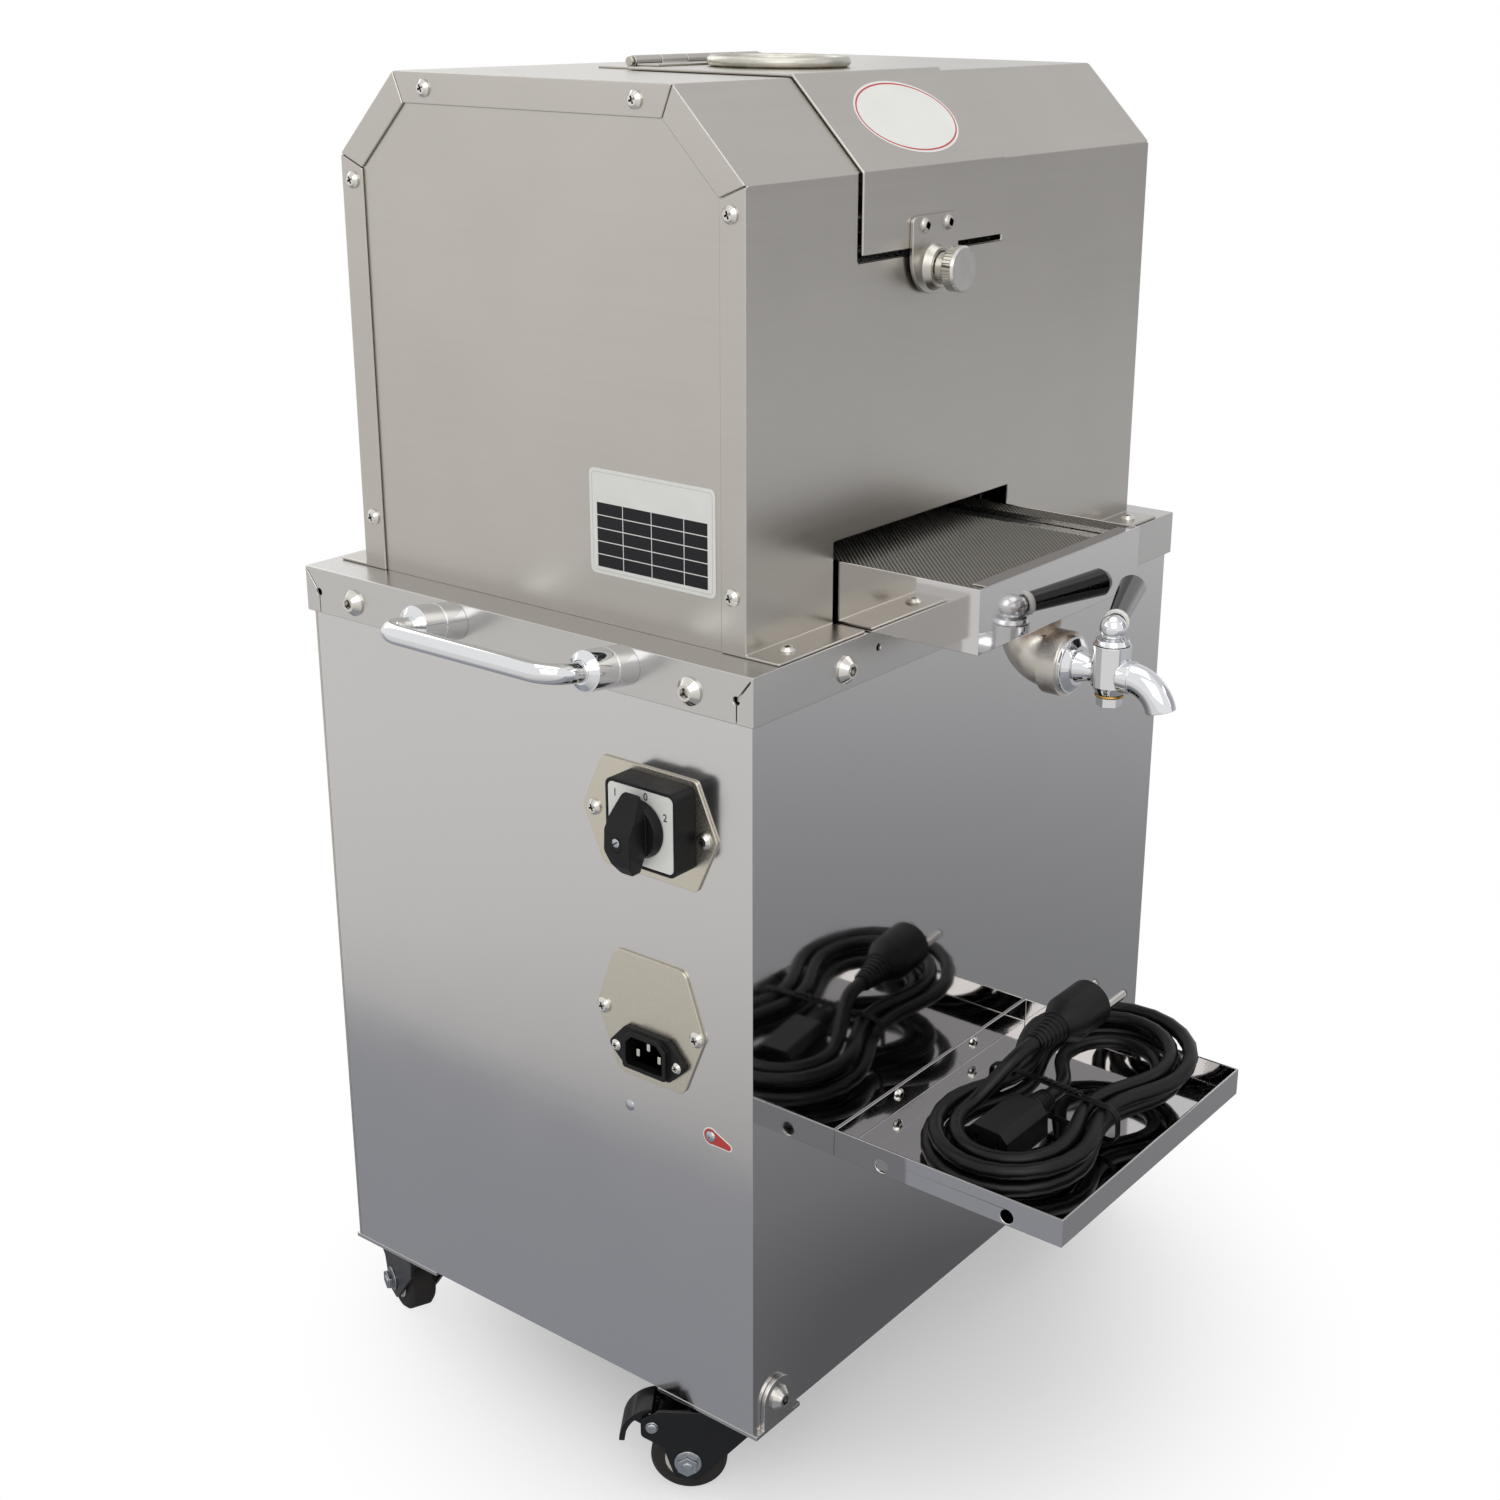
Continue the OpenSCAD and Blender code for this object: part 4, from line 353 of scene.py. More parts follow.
def tube(bm, path, radius, sides, closed=False, up=Vector((0, 0, 1))):
    """A round tube along a path, capped unless it is closed on itself."""
    rings = []
    for i, p in enumerate(path):
        along = (path[min(i + 1, len(path) - 1)] - path[max(i - 1, 0)]).normalized()
        side = along.cross(up)
        side = side.normalized() if side.length > 1e-6 else along.orthogonal().normalized()
        over = side.cross(along)
        rings.append([bm.verts.new(p + radius * (math.cos(a) * side + math.sin(a) * over))
                      for a in full_turn(sides)])
    count = len(rings)
    for i in range(count if closed else count - 1):
        band(bm, rings[i], rings[(i + 1) % count])
    if not closed:
        bm.faces.new(rings[0][::-1])
        bm.faces.new(rings[-1])


def lathe(bm, profile, place, steps=40):
    """Turns (radius, height) points in millimetres about the place's own normal. A closed profile ends where
    it starts; an open one is closed on the axis."""
    closed = profile[0] == profile[-1]
    points = profile[:-1] if closed else profile
    rings = []
    for r, h in points:
        if r < 1e-6:
            rings.append([bm.verts.new(place @ Vector((0, 0, h * MM)))])
        else:
            rings.append([bm.verts.new(place @ Vector((r * MM * math.cos(a), r * MM * math.sin(a), h * MM)))
                          for a in full_turn(steps)])
    for i in range(len(rings) if closed else len(rings) - 1):
        a, b = rings[i], rings[(i + 1) % len(rings)]
        if len(a) == len(b):
            band(bm, a, b)
            continue
        for k in range(steps):
            n = (k + 1) % steps
            bm.faces.new((a[0], b[n], b[k]) if len(a) == 1 else (a[k], a[n], b[0]))


def slab(bm, outline, low, high, place, hole=None):
    """A flat plate with a (right, up) outline in millimetres between two heights. A hole has as many
    points."""
    def loop(points, h):
        return [bm.verts.new(place @ Vector((u * MM, v * MM, h * MM))) for u, v in points]
    bottom, top = loop(outline, low), loop(outline, high)
    band(bm, bottom, top)
    if hole is None:
        bm.faces.new(top)
        bm.faces.new(bottom[::-1])
        return
    inner_bottom, inner_top = loop(hole, low), loop(hole, high)
    for k in range(len(hole)):
        n = (k + 1) % len(hole)
        bm.faces.new((inner_bottom[n], inner_bottom[k], inner_top[k], inner_top[n]))
        bm.faces.new((top[k], top[n], inner_top[n], inner_top[k]))
        bm.faces.new((bottom[n], bottom[k], inner_bottom[k], inner_bottom[n]))


def rounded(width, height, radius, steps=6):
    """Outline of a rectangle with rounded corners."""
    points = []
    for corner, (sx, sy) in enumerate(((1, 1), (-1, 1), (-1, -1), (1, -1))):
        for i in range(steps + 1):
            a = math.pi / 2 * (corner + i / steps)
            points.append((sx * (width / 2 - radius) + radius * math.cos(a),
                           sy * (height / 2 - radius) + radius * math.sin(a)))
    return points


def oval(width, height, steps=64):
    return [(width / 2 * math.cos(a), height / 2 * math.sin(a)) for a in full_turn(steps)]


def show(name, data, place=None):
    """A new object in the scene."""
    obj = bpy.data.objects.new(name, data)
    if place:
        obj.matrix_world = place
    bpy.context.scene.collection.objects.link(obj)
    return obj


def piece(name, bm, finish, body, bevel=0.0):
    """Turns a finished bmesh into a piece that moves with its body."""
    bmesh.ops.recalc_face_normals(bm, faces=bm.faces)
    mesh = bpy.data.meshes.new(name)
    bm.to_mesh(mesh)
    bm.free()
    for face in mesh.polygons:
        face.use_smooth = True
    mesh.set_sharp_from_angle(angle=SMOOTH_BELOW)
    mesh.materials.append(bpy.data.materials[finish])
    obj = show(name, mesh)
    if bevel:
        soften(obj, bevel)
    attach(obj, body)
    return obj


def plate(name, finish, body, *shape, bevel=0.0):
    """A piece of one slab."""
    bm = bmesh.new()
    slab(bm, *shape)
    piece(name, bm, finish, body, bevel)


def turning(name, finish, body, *shape):
    """A piece of one lathe turning."""
    bm = bmesh.new()
    lathe(bm, *shape)
    piece(name, bm, finish, body)


def modify(obj, name, kind, **settings):
    modifier = obj.modifiers.new(name, kind)
    for key, value in settings.items():
        setattr(modifier, key, value)


def join_faces(obj):
    modify(obj, "join faces", "WELD", merge_threshold=0.00001)


def soften(obj, width):
    """Breaks the sharp edges, so that they catch light as real ones do."""
    join_faces(obj)
    modify(obj, "whole flats", "DECIMATE", decimate_type="DISSOLVE", angle_limit=math.radians(0.5))
    modify(obj, "break edges", "BEVEL", width=width, segments=2, limit_method="ANGLE",
           angle_limit=math.radians(32), use_clamp_overlap=False, miter_outer="MITER_ARC")
    modify(obj, "keep flats flat", "WEIGHTED_NORMAL", weight=90, keep_sharp=True)


def crisp(obj):
    """Smooth round faces between edges that stay sharp, for solids too small or too fine to bevel."""
    join_faces(obj)
    modify(obj, "part edges", "EDGE_SPLIT", split_angle=SMOOTH_BELOW)


def on_floor(x0, y0, x1, y1):
    """Corners of a card that lies just above the floor."""
    lift = 0.0005
    return (x0, y0, lift), (x1, y0, lift), (x1, y1, lift), (x0, y1, lift)


# Operators


class JUICER_OT_stage(bpy.types.Operator):
    """Camera, pale floor, soft lamps and the grey cards that polished steel reflects"""
    bl_idname = "juicer.stage"
    bl_label = "Stage"

    # Camera: degrees round from the front, up and of roll, its place, and the shift and width of its sensor
    AZIMUTH, ELEVATION, ROLL = -53.0857, 19.1154, 0.5366
    EYE = (-0.8985, -0.65575, 0.7687)
    SHIFT, SENSOR_MM = (-0.0425, -0.0316), 36
    # Share of the white world that lights the object
    AMBIENT = 0.5
    # The floor keeps its shadow up to the first distance, less a share of white, and is white from the second
    FADE, NEAR_WHITE = (0.12, 0.34), 0.35
    FLOOR = ((-8, -8, 0), (8, -8, 0), (8, 8, 0), (-8, 8, 0))
    # Cards: name, corners, and the tone at each distance from the object, up to the reach
    REACH = 2.0
    # Painted shadow: the front card's darker tones near the object stand for the floor's shade under the
    # cabinet and tray, as polished sheet reflects it
    CARDS = (("front_card", on_floor(-0.2, -3, 4, 2.5),
              ((0.17, "66676a"), (0.27, "838488"), (0.36, "8e8f93"), (0.6, "95979b"), (0.9, "a5a6aa"),
               (1.4, "bebfc1"), (2, "d2d3d5"))),
             ("left_card", on_floor(-0.465, -3, -0.2, 2.5), ((0.2, "a0a3aa"), (2, "b4b6bc"))),
             ("far_left_card", on_floor(-5, -3, -0.465, 4),
              ((0.5, "c4c3c2"), (0.62, "d3d2d1"), (0.86, "e3e2e1"), (1.4, "ecebea"))),
             ("right_card", ((1.1, -2.2, 0.25), (2.4, -0.6, 0.25), (2.4, -0.6, 1.7), (1.1, -2.2, 1.7)),
              ((0, "a2a2a6"), (2, "b4b4b8"))),
             ("upper_card", ((1.7, -2.6, 1.0), (3.2, 2.2, 1.0), (2.6, 2.2, 3.6), (1.1, -2.6, 3.6)),
              ((0, "d8d8da"), (2, "e2e2e4"))))
    # Lamps: name, place, size and watts, all turned to one point of the object
    LAMPS = (("key softbox", (-1.9, -1.6, 2.3), 2.4, 26), ("top softbox", (0.1, 0.1, 2.7), 1.8, 10),
             ("fill softbox", (1.6, -2.0, 1.5), 1.4, 8), ("rear softbox", (0.6, 2.4, 1.8), 1.6, 10))
    AIM = Vector((0, 0.05, 0.4))

    def execute(self, context):
        context.scene.view_settings.view_transform = "Standard"
        self.camera(context)
        self.world(context)
        self.floor()
        for name, corners, tones in self.CARDS:
            self.glow(name, tones)
            self.card(name, name, corners)
        self.lamps()
        return {"FINISHED"}

    def camera(self, context):
        data = bpy.data.cameras.new("photo camera")
        data.lens = context.scene.juicer_size.lens
        data.sensor_width = self.SENSOR_MM
        data.sensor_fit = "HORIZONTAL"
        data.shift_x, data.shift_y = self.SHIFT
        aim = turned(self.AZIMUTH) @ turned(90 - self.ELEVATION, "X") @ turned(self.ROLL)
        context.scene.camera = show("photo camera", data, Matrix.Translation(self.EYE) @ aim)

    def seen(self, tree):
        """1 for what the camera sees, also by way of metal or glass, and 0 for light on the object."""
        ray = add(tree, "LightPath")
        plain = add(tree, "Math", {0: ray.outputs["Is Camera Ray"], 1: ray.outputs["Is Glossy Ray"]},
                    operation="MAXIMUM")
        through = add(tree, "Math", {0: plain.outputs[0], 1: ray.outputs["Is Transmission Ray"]},
                      operation="MAXIMUM")
        return through.outputs[0]

    def world(self, context):
        """White to the camera and to polished metal, softer as a light on the object."""
        world = bpy.data.worlds.new("white studio")
        world.use_nodes = True
        tree = world.node_tree
        tree.nodes.clear()
        strength = add(tree, "MapRange", {0: self.seen(tree), 1: 0.0, 2: 1.0, 3: self.AMBIENT, 4: 1.0})
        shine = add(tree, "Background", {"Color": WHITE, "Strength": strength.outputs[0]})
        tree.nodes.active = add(tree, "OutputWorld", {"Surface": shine.outputs[0]})
        context.scene.world = world

    def floor(self):
        """A pale floor that keeps the shadow near the object and fades to the white background."""
        matt = {"Specular IOR Level": 0.0}
        tree, shader, place = begin("pale studio floor", linear("f4f4f4"), 0.0, 0.9, **matt)
        reach = add(tree, "VectorMath", {0: place}, operation="LENGTH")
        near, far = self.FADE
        fade = add(tree, "MapRange", {0: reach.outputs["Value"], 1: near, 2: far, 3: self.NEAR_WHITE, 4: 1.0},
                   interpolation_type="SMOOTHSTEP")
        share = add(tree, "Math", {0: fade.outputs[0], 1: self.seen(tree)}, operation="MULTIPLY")
        white = add(tree, "Emission", {"Color": WHITE, "Strength": 1.0})
        mixed = add(tree, "MixShader", {0: share.outputs[0], 1: shader.outputs[0], 2: white.outputs[0]})
        tree.links.new(mixed.outputs[0], tree.nodes["Material Output"].inputs["Surface"])
        self.card("studio_floor", "pale studio floor", self.FLOOR, camera=True)

    def glow(self, name, tones):
        """The tones of a card that polished metal reflects, each at its distance from the object."""
        mat = bpy.data.materials.new(name)
        mat.use_nodes = True
        tree = mat.node_tree
        tree.nodes.clear()
        place = add(tree, "TexCoord").outputs["Object"]
        reach = add(tree, "VectorMath", {0: place}, operation="LENGTH")
        share = add(tree, "MapRange", {0: reach.outputs["Value"], 1: 0.0, 2: self.REACH, 3: 0.0, 4: 1.0})
        ramp = add(tree, "ValToRGB", {0: share.outputs[0]})
        stops = ramp.color_ramp.elements
        for i, (distance, code) in enumerate(tones):
            stop = stops[i] if i < 2 else stops.new(1.0)
            stop.position = distance / self.REACH
            stop.color = (*linear(code), 1)
        light = add(tree, "Emission", {"Color": ramp.outputs[0], "Strength": 1.0})
        add(tree, "OutputMaterial", {"Surface": light.outputs[0]})

    def card(self, name, finish, corners, camera=False):
        mesh = bpy.data.meshes.new(name)
        mesh.from_pydata([Vector(c) for c in corners], [], [(0, 1, 2, 3)])
        mesh.materials.append(bpy.data.materials[finish])
        obj = show(name, mesh)
        if not camera:
            # A card shows in reflections only
            obj.visible_camera = obj.visible_diffuse = obj.visible_shadow = False

    def lamps(self):
        for name, place, size, power in self.LAMPS:
            lamp = bpy.data.lights.new(name, "AREA")
            lamp.size = size
            lamp.energy = power
            aim = (self.AIM - Vector(place)).to_track_quat("-Z", "Y")
            show(name, lamp, Matrix.Translation(place) @ aim.to_matrix().to_4x4())


class JUICER_OT_cord(bpy.types.Operator):
    """Power cord tied in a hank on the shelf tray, with its twist tie, relief ribs, pins and contacts"""
    bl_idname = "juicer.cord"
    bl_label = "Power cord"

    # The hank's own sizes in millimetres: u along it, v across it, w up from the tray's floor.
    # Half of a straight run, the first end bend's radius, the pinch at the tie, the rise to the upper layer
    half, radius, waist, layer = 44.0, 25.5, 12.0, 9.2
    # Turns, the space between two turns, and the upper layer's pitch as a share of the lower one's
    loops, space, wind_in = 4, 2.4, 0.98
    # Where the cord leaves the connector and enters the plug
    connector = (-8.0, 3.0, 10.3)
    plug = (4.0, 20.0, 31.6)
    # The hank's x, its y from the worktop's middle, its height from the tray's underside, and how many
    # degrees it is turned and tipped
    spot, yaw, tilt = (-30, -227.5, 1.5), -4, -4.7
    # Points of the path in each turn, and on the ways in and out
    rings, way_in, way_out = 48, 12, 14
    # The tie's turns along u, its wire's radius and the radius of its twist
    tie_turns, tie_wire, tie_twist = (-8.3, -7.1, -5.9), 0.75, 1.0

    def execute(self, context):
        size = context.scene.juicer_size
        self.thick = size.cord_diameter / MM
        self.step = self.thick + self.space
        end = self.half + self.radius + self.step * self.loops / 2 + self.thick / 2
        x, y, z = self.spot
        hank = Matrix.Translation((x * MM, MIDDLE.y + y * MM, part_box("shelf_tray")[0].z + z * MM))
        tipped = shifted(-end, 0, 0) @ turned(self.tilt, "Y") @ shifted(end, 0, 0)
        self.place = hank @ turned(self.yaw) @ tipped
        path = [self.put(*p) for p in self.route()]
        data = bpy.data.curves.new("power_cord", "CURVE")
        data.dimensions = "3D"
        data.bevel_depth = size.cord_diameter / 2
        data.bevel_resolution = 5
        data.use_fill_caps = True
        spline = data.splines.new("POLY")
        spline.points.add(len(path) - 1)
        for point, p in zip(spline.points, path):
            point.co = (*p, 1)
        spline.use_smooth = True
        data.materials.append(bpy.data.materials["black cord PVC"])
        cord = show("power_cord", data)
        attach(cord, "cabinet")
        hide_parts("cord_hank")
        made = [self.tie(), self.relief_ribs(size), self.pins(), self.contacts()]
        return {"FINISHED"}

    def put(self, u, v, w):
        """A point of the hank in the frame."""
        return self.place @ (Vector((u, v, w)) * MM)

    @staticmethod
    def ease(s):
        return (1 - math.cos(math.pi * s)) / 2

    def turn(self, t):
        """A point of the hank after t turns: right end, front run, left end, rear run. The cord climbs to the
        upper layer in the quarter turn before it."""
        lower = self.loops / 2
        r = self.radius + self.step * (t if t < lower else lower - self.wind_in * (t - lower))
        w = self.thick / 2 + self.layer * self.ease(min(1, max(0, 4 * (t - lower + 0.25))))
        quarter = 4 * (t - math.floor(t))
        f = quarter - math.floor(quarter)
        run = self.half * (1 - 2 * f)
        pinch = self.waist * math.cos(math.pi / 2 * run / self.half) ** 2
        if quarter < 1:
            a = math.radians(90 - 180 * f)
            return self.half + r * math.cos(a), r * math.sin(a), w
        if quarter < 2:
            return run, -r + pinch, w
        if quarter < 3:
            a = math.radians(270 - 180 * f)
            return -self.half + r * math.cos(a), r * math.sin(a), w
        return -run, r - pinch, w

    def route(self):
        points = [self.connector]
        u0, v0, w0 = self.connector
        for i in range(self.way_in):
            s = i / self.way_in
            eased = self.ease(s)
            u = u0 + self.thick + s * (self.half - u0 - self.thick)
            points.append((u, v0 + (self.radius - v0) * eased, w0 + (self.thick / 2 - w0) * eased))
        count = round((self.loops - 0.25) * self.rings)
        points += [self.turn(i / self.rings) for i in range(count + 1)]
        u0, v0, w0 = points[-1]
        u1, v1, w1 = self.plug
        for i in range(1, self.way_out + 1):
            s = i / self.way_out
            eased = self.ease(s)
            points.append((u0 + s * (u1 - self.thick - u0), v0 + (v1 - v0) * eased, w0 + (w1 - w0) * eased))
        return points + [self.plug]

    def tie(self):
        """A paper-wire twist tie round the waist, its ends twisted together on top."""
        bm = bmesh.new()
        across = self.radius + self.step * 2 - self.waist + self.thick / 2 + 1.2
        high = self.thick + self.layer
        outline = [(v, w + high / 2) for v, w in rounded(2 * across, high + 2.4, 6.5)]
        for u in self.tie_turns:
            tube(bm, [self.put(u, v, w) for v, w in outline], self.tie_wire * MM, 8, closed=True,
                 up=self.place.to_3x3() @ Vector((1, 0, 0)))
        points, half_turns, start_v, long = 60, 7, 8, 26
        for start in (0, math.pi):
            twist = []
            for i in range(points):
                s = i / (points - 1)
                a = start + s * half_turns * math.pi
                twist.append(self.put(self.tie_turns[1] - self.tie_twist * math.cos(a), start_v - long * s,
                                      high + 2.6 + self.tie_twist * math.sin(a)))
            tube(bm, twist, self.tie_wire * MM, 8)
        obj = piece("cord_twist_tie", bm, "black cord PVC", "cabinet")
        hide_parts("cord_tie")
        return obj

    def relief_ribs(self, size):
        """Rounded ribs round the tapered strain reliefs of the connector and the plug."""
        bm = bmesh.new()
        nose, tail = self.connector, self.plug
        # Each relief's start, length, and radius at its start and end
        for u0, v, w, long, r0, r1 in ((nose[0] - 18, *nose[1:], 18.0, 8.0, 5.0), (*tail, 20.0, 5.0, 8.0)):
            for i in range(size.ribs):
                s = (i + 0.7) / (size.ribs + 0.4)
                r = r0 + (r1 - r0) * s
                rib = self.place @ shifted(u0 + s * long, v, w) @ turned(90, "Y")
                lathe(bm, [(r - 0.8, -0.9), (r + 0.35, -0.75), (r + 0.55, 0), (r + 0.35, 0.75),
                           (r - 0.8, 0.9), (r - 0.8, -0.9)], rib, 28)
        return piece("cord_relief_ribs", bm, "moulded black plastic", "cabinet")

    def pins(self):
        """Bright sleeves and rounded tips on the plug's two pins."""
        bm = bmesh.new()
        u, v, w = self.plug
        body, half_pitch = 53, 9.5
        for side in (-1, 1):
            start = self.place @ shifted(u + body, v + side * half_pitch, w) @ turned(90, "Y")
            lathe(bm, [(2.55, 0.2), (2.55, 17.6), (2.2, 18.7), (1.2, 19.3), (0, 19.4)], start, 24)
        return piece("cord_plug_pins", bm, "nickel-plated steel", "cabinet")

    def contacts(self):
        """Folded contacts that show in the connector's three slots."""
        bm = bmesh.new()
        u, v, w = self.connector
        body = 54
        face = Matrix(((0, 0, -1), (-1, 0, 0), (0, 1, 0))).to_4x4()
        for dv, dw in ((-7, 2), (0, -3), (7, 2)):
            mid = self.place @ shifted(u - body, v + dv, w + dw) @ face
            slab(bm, rounded(2.1, 4.3, 0.3, 2), -6.0, -0.25, mid, rounded(1.1, 3.3, 0.3, 2))
        return piece("cord_contacts", bm, "nickel-plated steel", "cabinet")


class JUICER_OT_finishes(bpy.types.Operator):
    """Material and broken edges of every solid that shows"""
    bl_idname = "juicer.finishes"
    bl_label = "Finishes"

    # Finish, edge break as a share of the sheet's, and the solids that take them
    TABLE = (
        ("polished stainless wall", 1.0, ("cabinet_shell",)),
        ("polished stainless sheet", 1.0, ("juice_pan", "shelf_tray")),
        ("satin stainless sheet", 1.2, ("worktop", "corner_brackets")),
        ("brushed stainless sheet", 1.7, ("housing_wrap", "feed_lid")),
        ("brushed stainless sheet", 1.0, ("back_panel", "bagasse_chute", "latch_bracket", "hinge_fixed_leaf",
                                          "hinge_moving_leaf")),
        ("brushed stainless side plate", 0.5, ("side_plate_left", "side_plate_right")),
        ("warm satin stainless plate", 0.8, ("switch_plate", "inlet_plate")),
        ("nickel-plated steel", 0.0, ("button_screws", "pan_screws", "latch_screw")),
        ("chrome plate", 0.6, ("side_handles", "tap_body", "tap_plug")),
        ("cast stainless", 0.0, ("pipe_elbow",)),
        ("galvanised tube", 0.0, ("feed_tube",)),
        ("drawn stainless wire", 0.0, ("strainer",)),
        ("turned stainless", 0.8, ("cheek_plates", "tie_bars", "roller_top", "roller_feed",
                                   "roller_discharge")),
        ("oiled gear steel", 0.0, ("gear_top", "gear_feed", "gear_discharge", "drive_sprocket",
                                   "motor_sprocket", "drive_chain")),
        ("turned bronze", 0.6, ("roller_bushes",)),
        ("grey-blue motor enamel", 1.6, ("drive_motor", "gearbox")),
        ("zinc-plated steel", 0.8, ("base_plate",)),
        ("moulded black plastic", 1.0, ("switch_body", "switch_knob", "inlet_socket", "cord_connector",
                                        "cord_plug")),
        ("polished black phenolic", 1.2, ("tap_grip",)),
        ("black cord PVC", 0.0, ("cord_hank", "cord_tie")),
        ("black enamel on pressed steel", 0.8, tuple(f"caster_{kind}_{key}" for kind in ("fork", "brake")
                                                     for key in CORNERS)),
        ("dark caster rubber", 1.0, tuple("caster_wheel_" + key for key in CORNERS)),
    )

    def execute(self, context):
        edge = context.scene.juicer_size.edge
        make_finishes(context.scene.juicer_finish)
        dressed = set()
        for finish, share, nodes in self.TABLE:
            for name in nodes:
                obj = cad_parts[name]
                obj.data.materials.clear()
                obj.data.materials.append(bpy.data.materials[finish])
                for face in obj.data.polygons:
                    face.material_index = 0
                    face.use_smooth = True
                if share:
                    soften(obj, edge * share)
                else:
                    crisp(obj)
                dressed.add(name)
        bare = sorted(set(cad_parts) - dressed)
        if bare:
            raise RuntimeError(f"these solids have no finish: {bare}")
        return {"FINISHED"}


class JUICER_OT_plates(bpy.types.Operator):
    """Bare rating plate on the housing, plain oval on the lid, earth mark and plug on the cabinet wall"""
    bl_idname = "juicer.plates"
    bl_label = "Plates and marks"

    # The rating plate's margin and border line in millimetres
    MARGIN, BORDER = 1.6, 0.7
    # Its cells: width less than the plate's and gap in millimetres, height and drop as shares of the plate's
    CELL_MARGIN, GAP, CELL_HEIGHT, CELL_DROP = 9, 0.5, 0.62, 0.125
    COLUMNS, ROWS = (0.24, 0.26, 0.29, 0.21), 5
    # Millimetres: the lid's fold, how far the lid stands proud of the housing, and the oval's middle
    FOLD, PROUD, OVAL_X = 41.0, 1.8, -31
    # Middles on the left side, to the rear and up in millimetres, and the earth mark's turn in degrees
    RATING, EARTH, EARTH_TURN, PLUG = (-74.7, 51), (-124, -247), -12, (-70, -248.6)

    def execute(self, context):
        size = context.scene.juicer_size
        self.rating_plate(size)
        self.oval_sticker(size)
        self.earth_mark()
        return {"FINISHED"}

    def rating_plate(self, size):
        wide, high = size.plate_width / MM, size.plate_height / MM
        place = on_left(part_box("side_plate_left")[0].x, *self.RATING)
        plate("rating_plate", "white lacquered plate", "cabinet", rounded(wide, high, 3), 0, 0.35, place,
              bevel=0.0001)
        border_w, border_h = wide - 2 * self.MARGIN, high - 2 * self.MARGIN
        plate("rating_plate_border", "off-white nylon", "cabinet", rounded(border_w, border_h, 2), 0.34, 0.39,
              place, rounded(border_w - self.BORDER, border_h - self.BORDER, 1.7))
        bm = bmesh.new()
        table_w, table_h = wide - self.CELL_MARGIN, high * self.CELL_HEIGHT
        row_h, inset = table_h / self.ROWS, self.GAP / 2
        for row in range(self.ROWS):
            left = -table_w / 2
            top = table_h / 2 - high * self.CELL_DROP - row * row_h
            for share in self.COLUMNS:
                right = left + share * table_w
                x0, x1, y0, y1 = left + inset, right - inset, top - row_h + inset, top - inset
                slab(bm, [(x0, y0), (x1, y0), (x1, y1), (x0, y1)], 0.34, 0.4, place)
                left = right
        piece("rating_plate_cells", bm, "dark screen print", "cabinet")

    def oval_sticker(self, size):
        wide, high = size.oval_width / MM, size.oval_height / MM
        front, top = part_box("feed_lid")[0].y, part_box("housing_wrap")[1].z
        half_fold = self.FOLD / 2 * MM
        middle = Vector((self.OVAL_X * MM, front + self.PROUD * MM + half_fold, top - half_fold))
        place = axes(middle, ON_LID_SLOPE) @ shifted(0, 0, self.PROUD + 0.01)
        plate("oval_sticker", "white lacquered plate", "lid", oval(wide, high), 0, 0.12, place)
        plate("oval_sticker_ring", "red screen print", "lid", oval(wide - 2.4, high - 2.4), 0.11, 0.16, place,
              oval(wide - 4.2, high - 4.2))

    def earth_mark(self):
        """A bare teardrop with its screw, and a small plug in the wall."""
        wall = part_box("cabinet_shell")[0].x
        place = on_left(wall, *self.EARTH, self.EARTH_TURN)

        def arc(radius, start, sweep, steps, reach=0.0):
            angles = (math.radians(start + sweep * k / steps) for k in range(steps + 1))
            return [(reach + radius * math.cos(a), radius * math.sin(a)) for a in angles]

        def drop(big, small):
            return arc(big, 60, 240, 24) + arc(small, -60, 120, 12, 11.4)
        plate("earth_mark", "white lacquered plate", "cabinet", drop(4.9, 2.4), 0, 0.25, place)
        plate("earth_mark_face", "red screen print", "cabinet", drop(4.3, 1.8), 0.24, 0.3, place)
        bm = bmesh.new()
        lathe(bm, [(0, 1.7), (1.0, 1.65), (2.1, 1.3), (2.8, 0.8), (3.1, 0.3), (3.1, 0.1)], place, 28)
        for turn in (20, 110):
            slab(bm, rounded(3.0, 0.7, 0.3, 2), 1.4, 1.73, place @ turned(turn))
        piece("earth_screw", bm, "zinc-plated steel", "cabinet")
        turning("wall_plug", "zinc-plated steel", "cabinet",
                [(0, 1.2), (1.2, 1.1), (2.3, 0.7), (2.9, 0.2), (3.1, 0)], on_left(wall, *self.PLUG), 28)


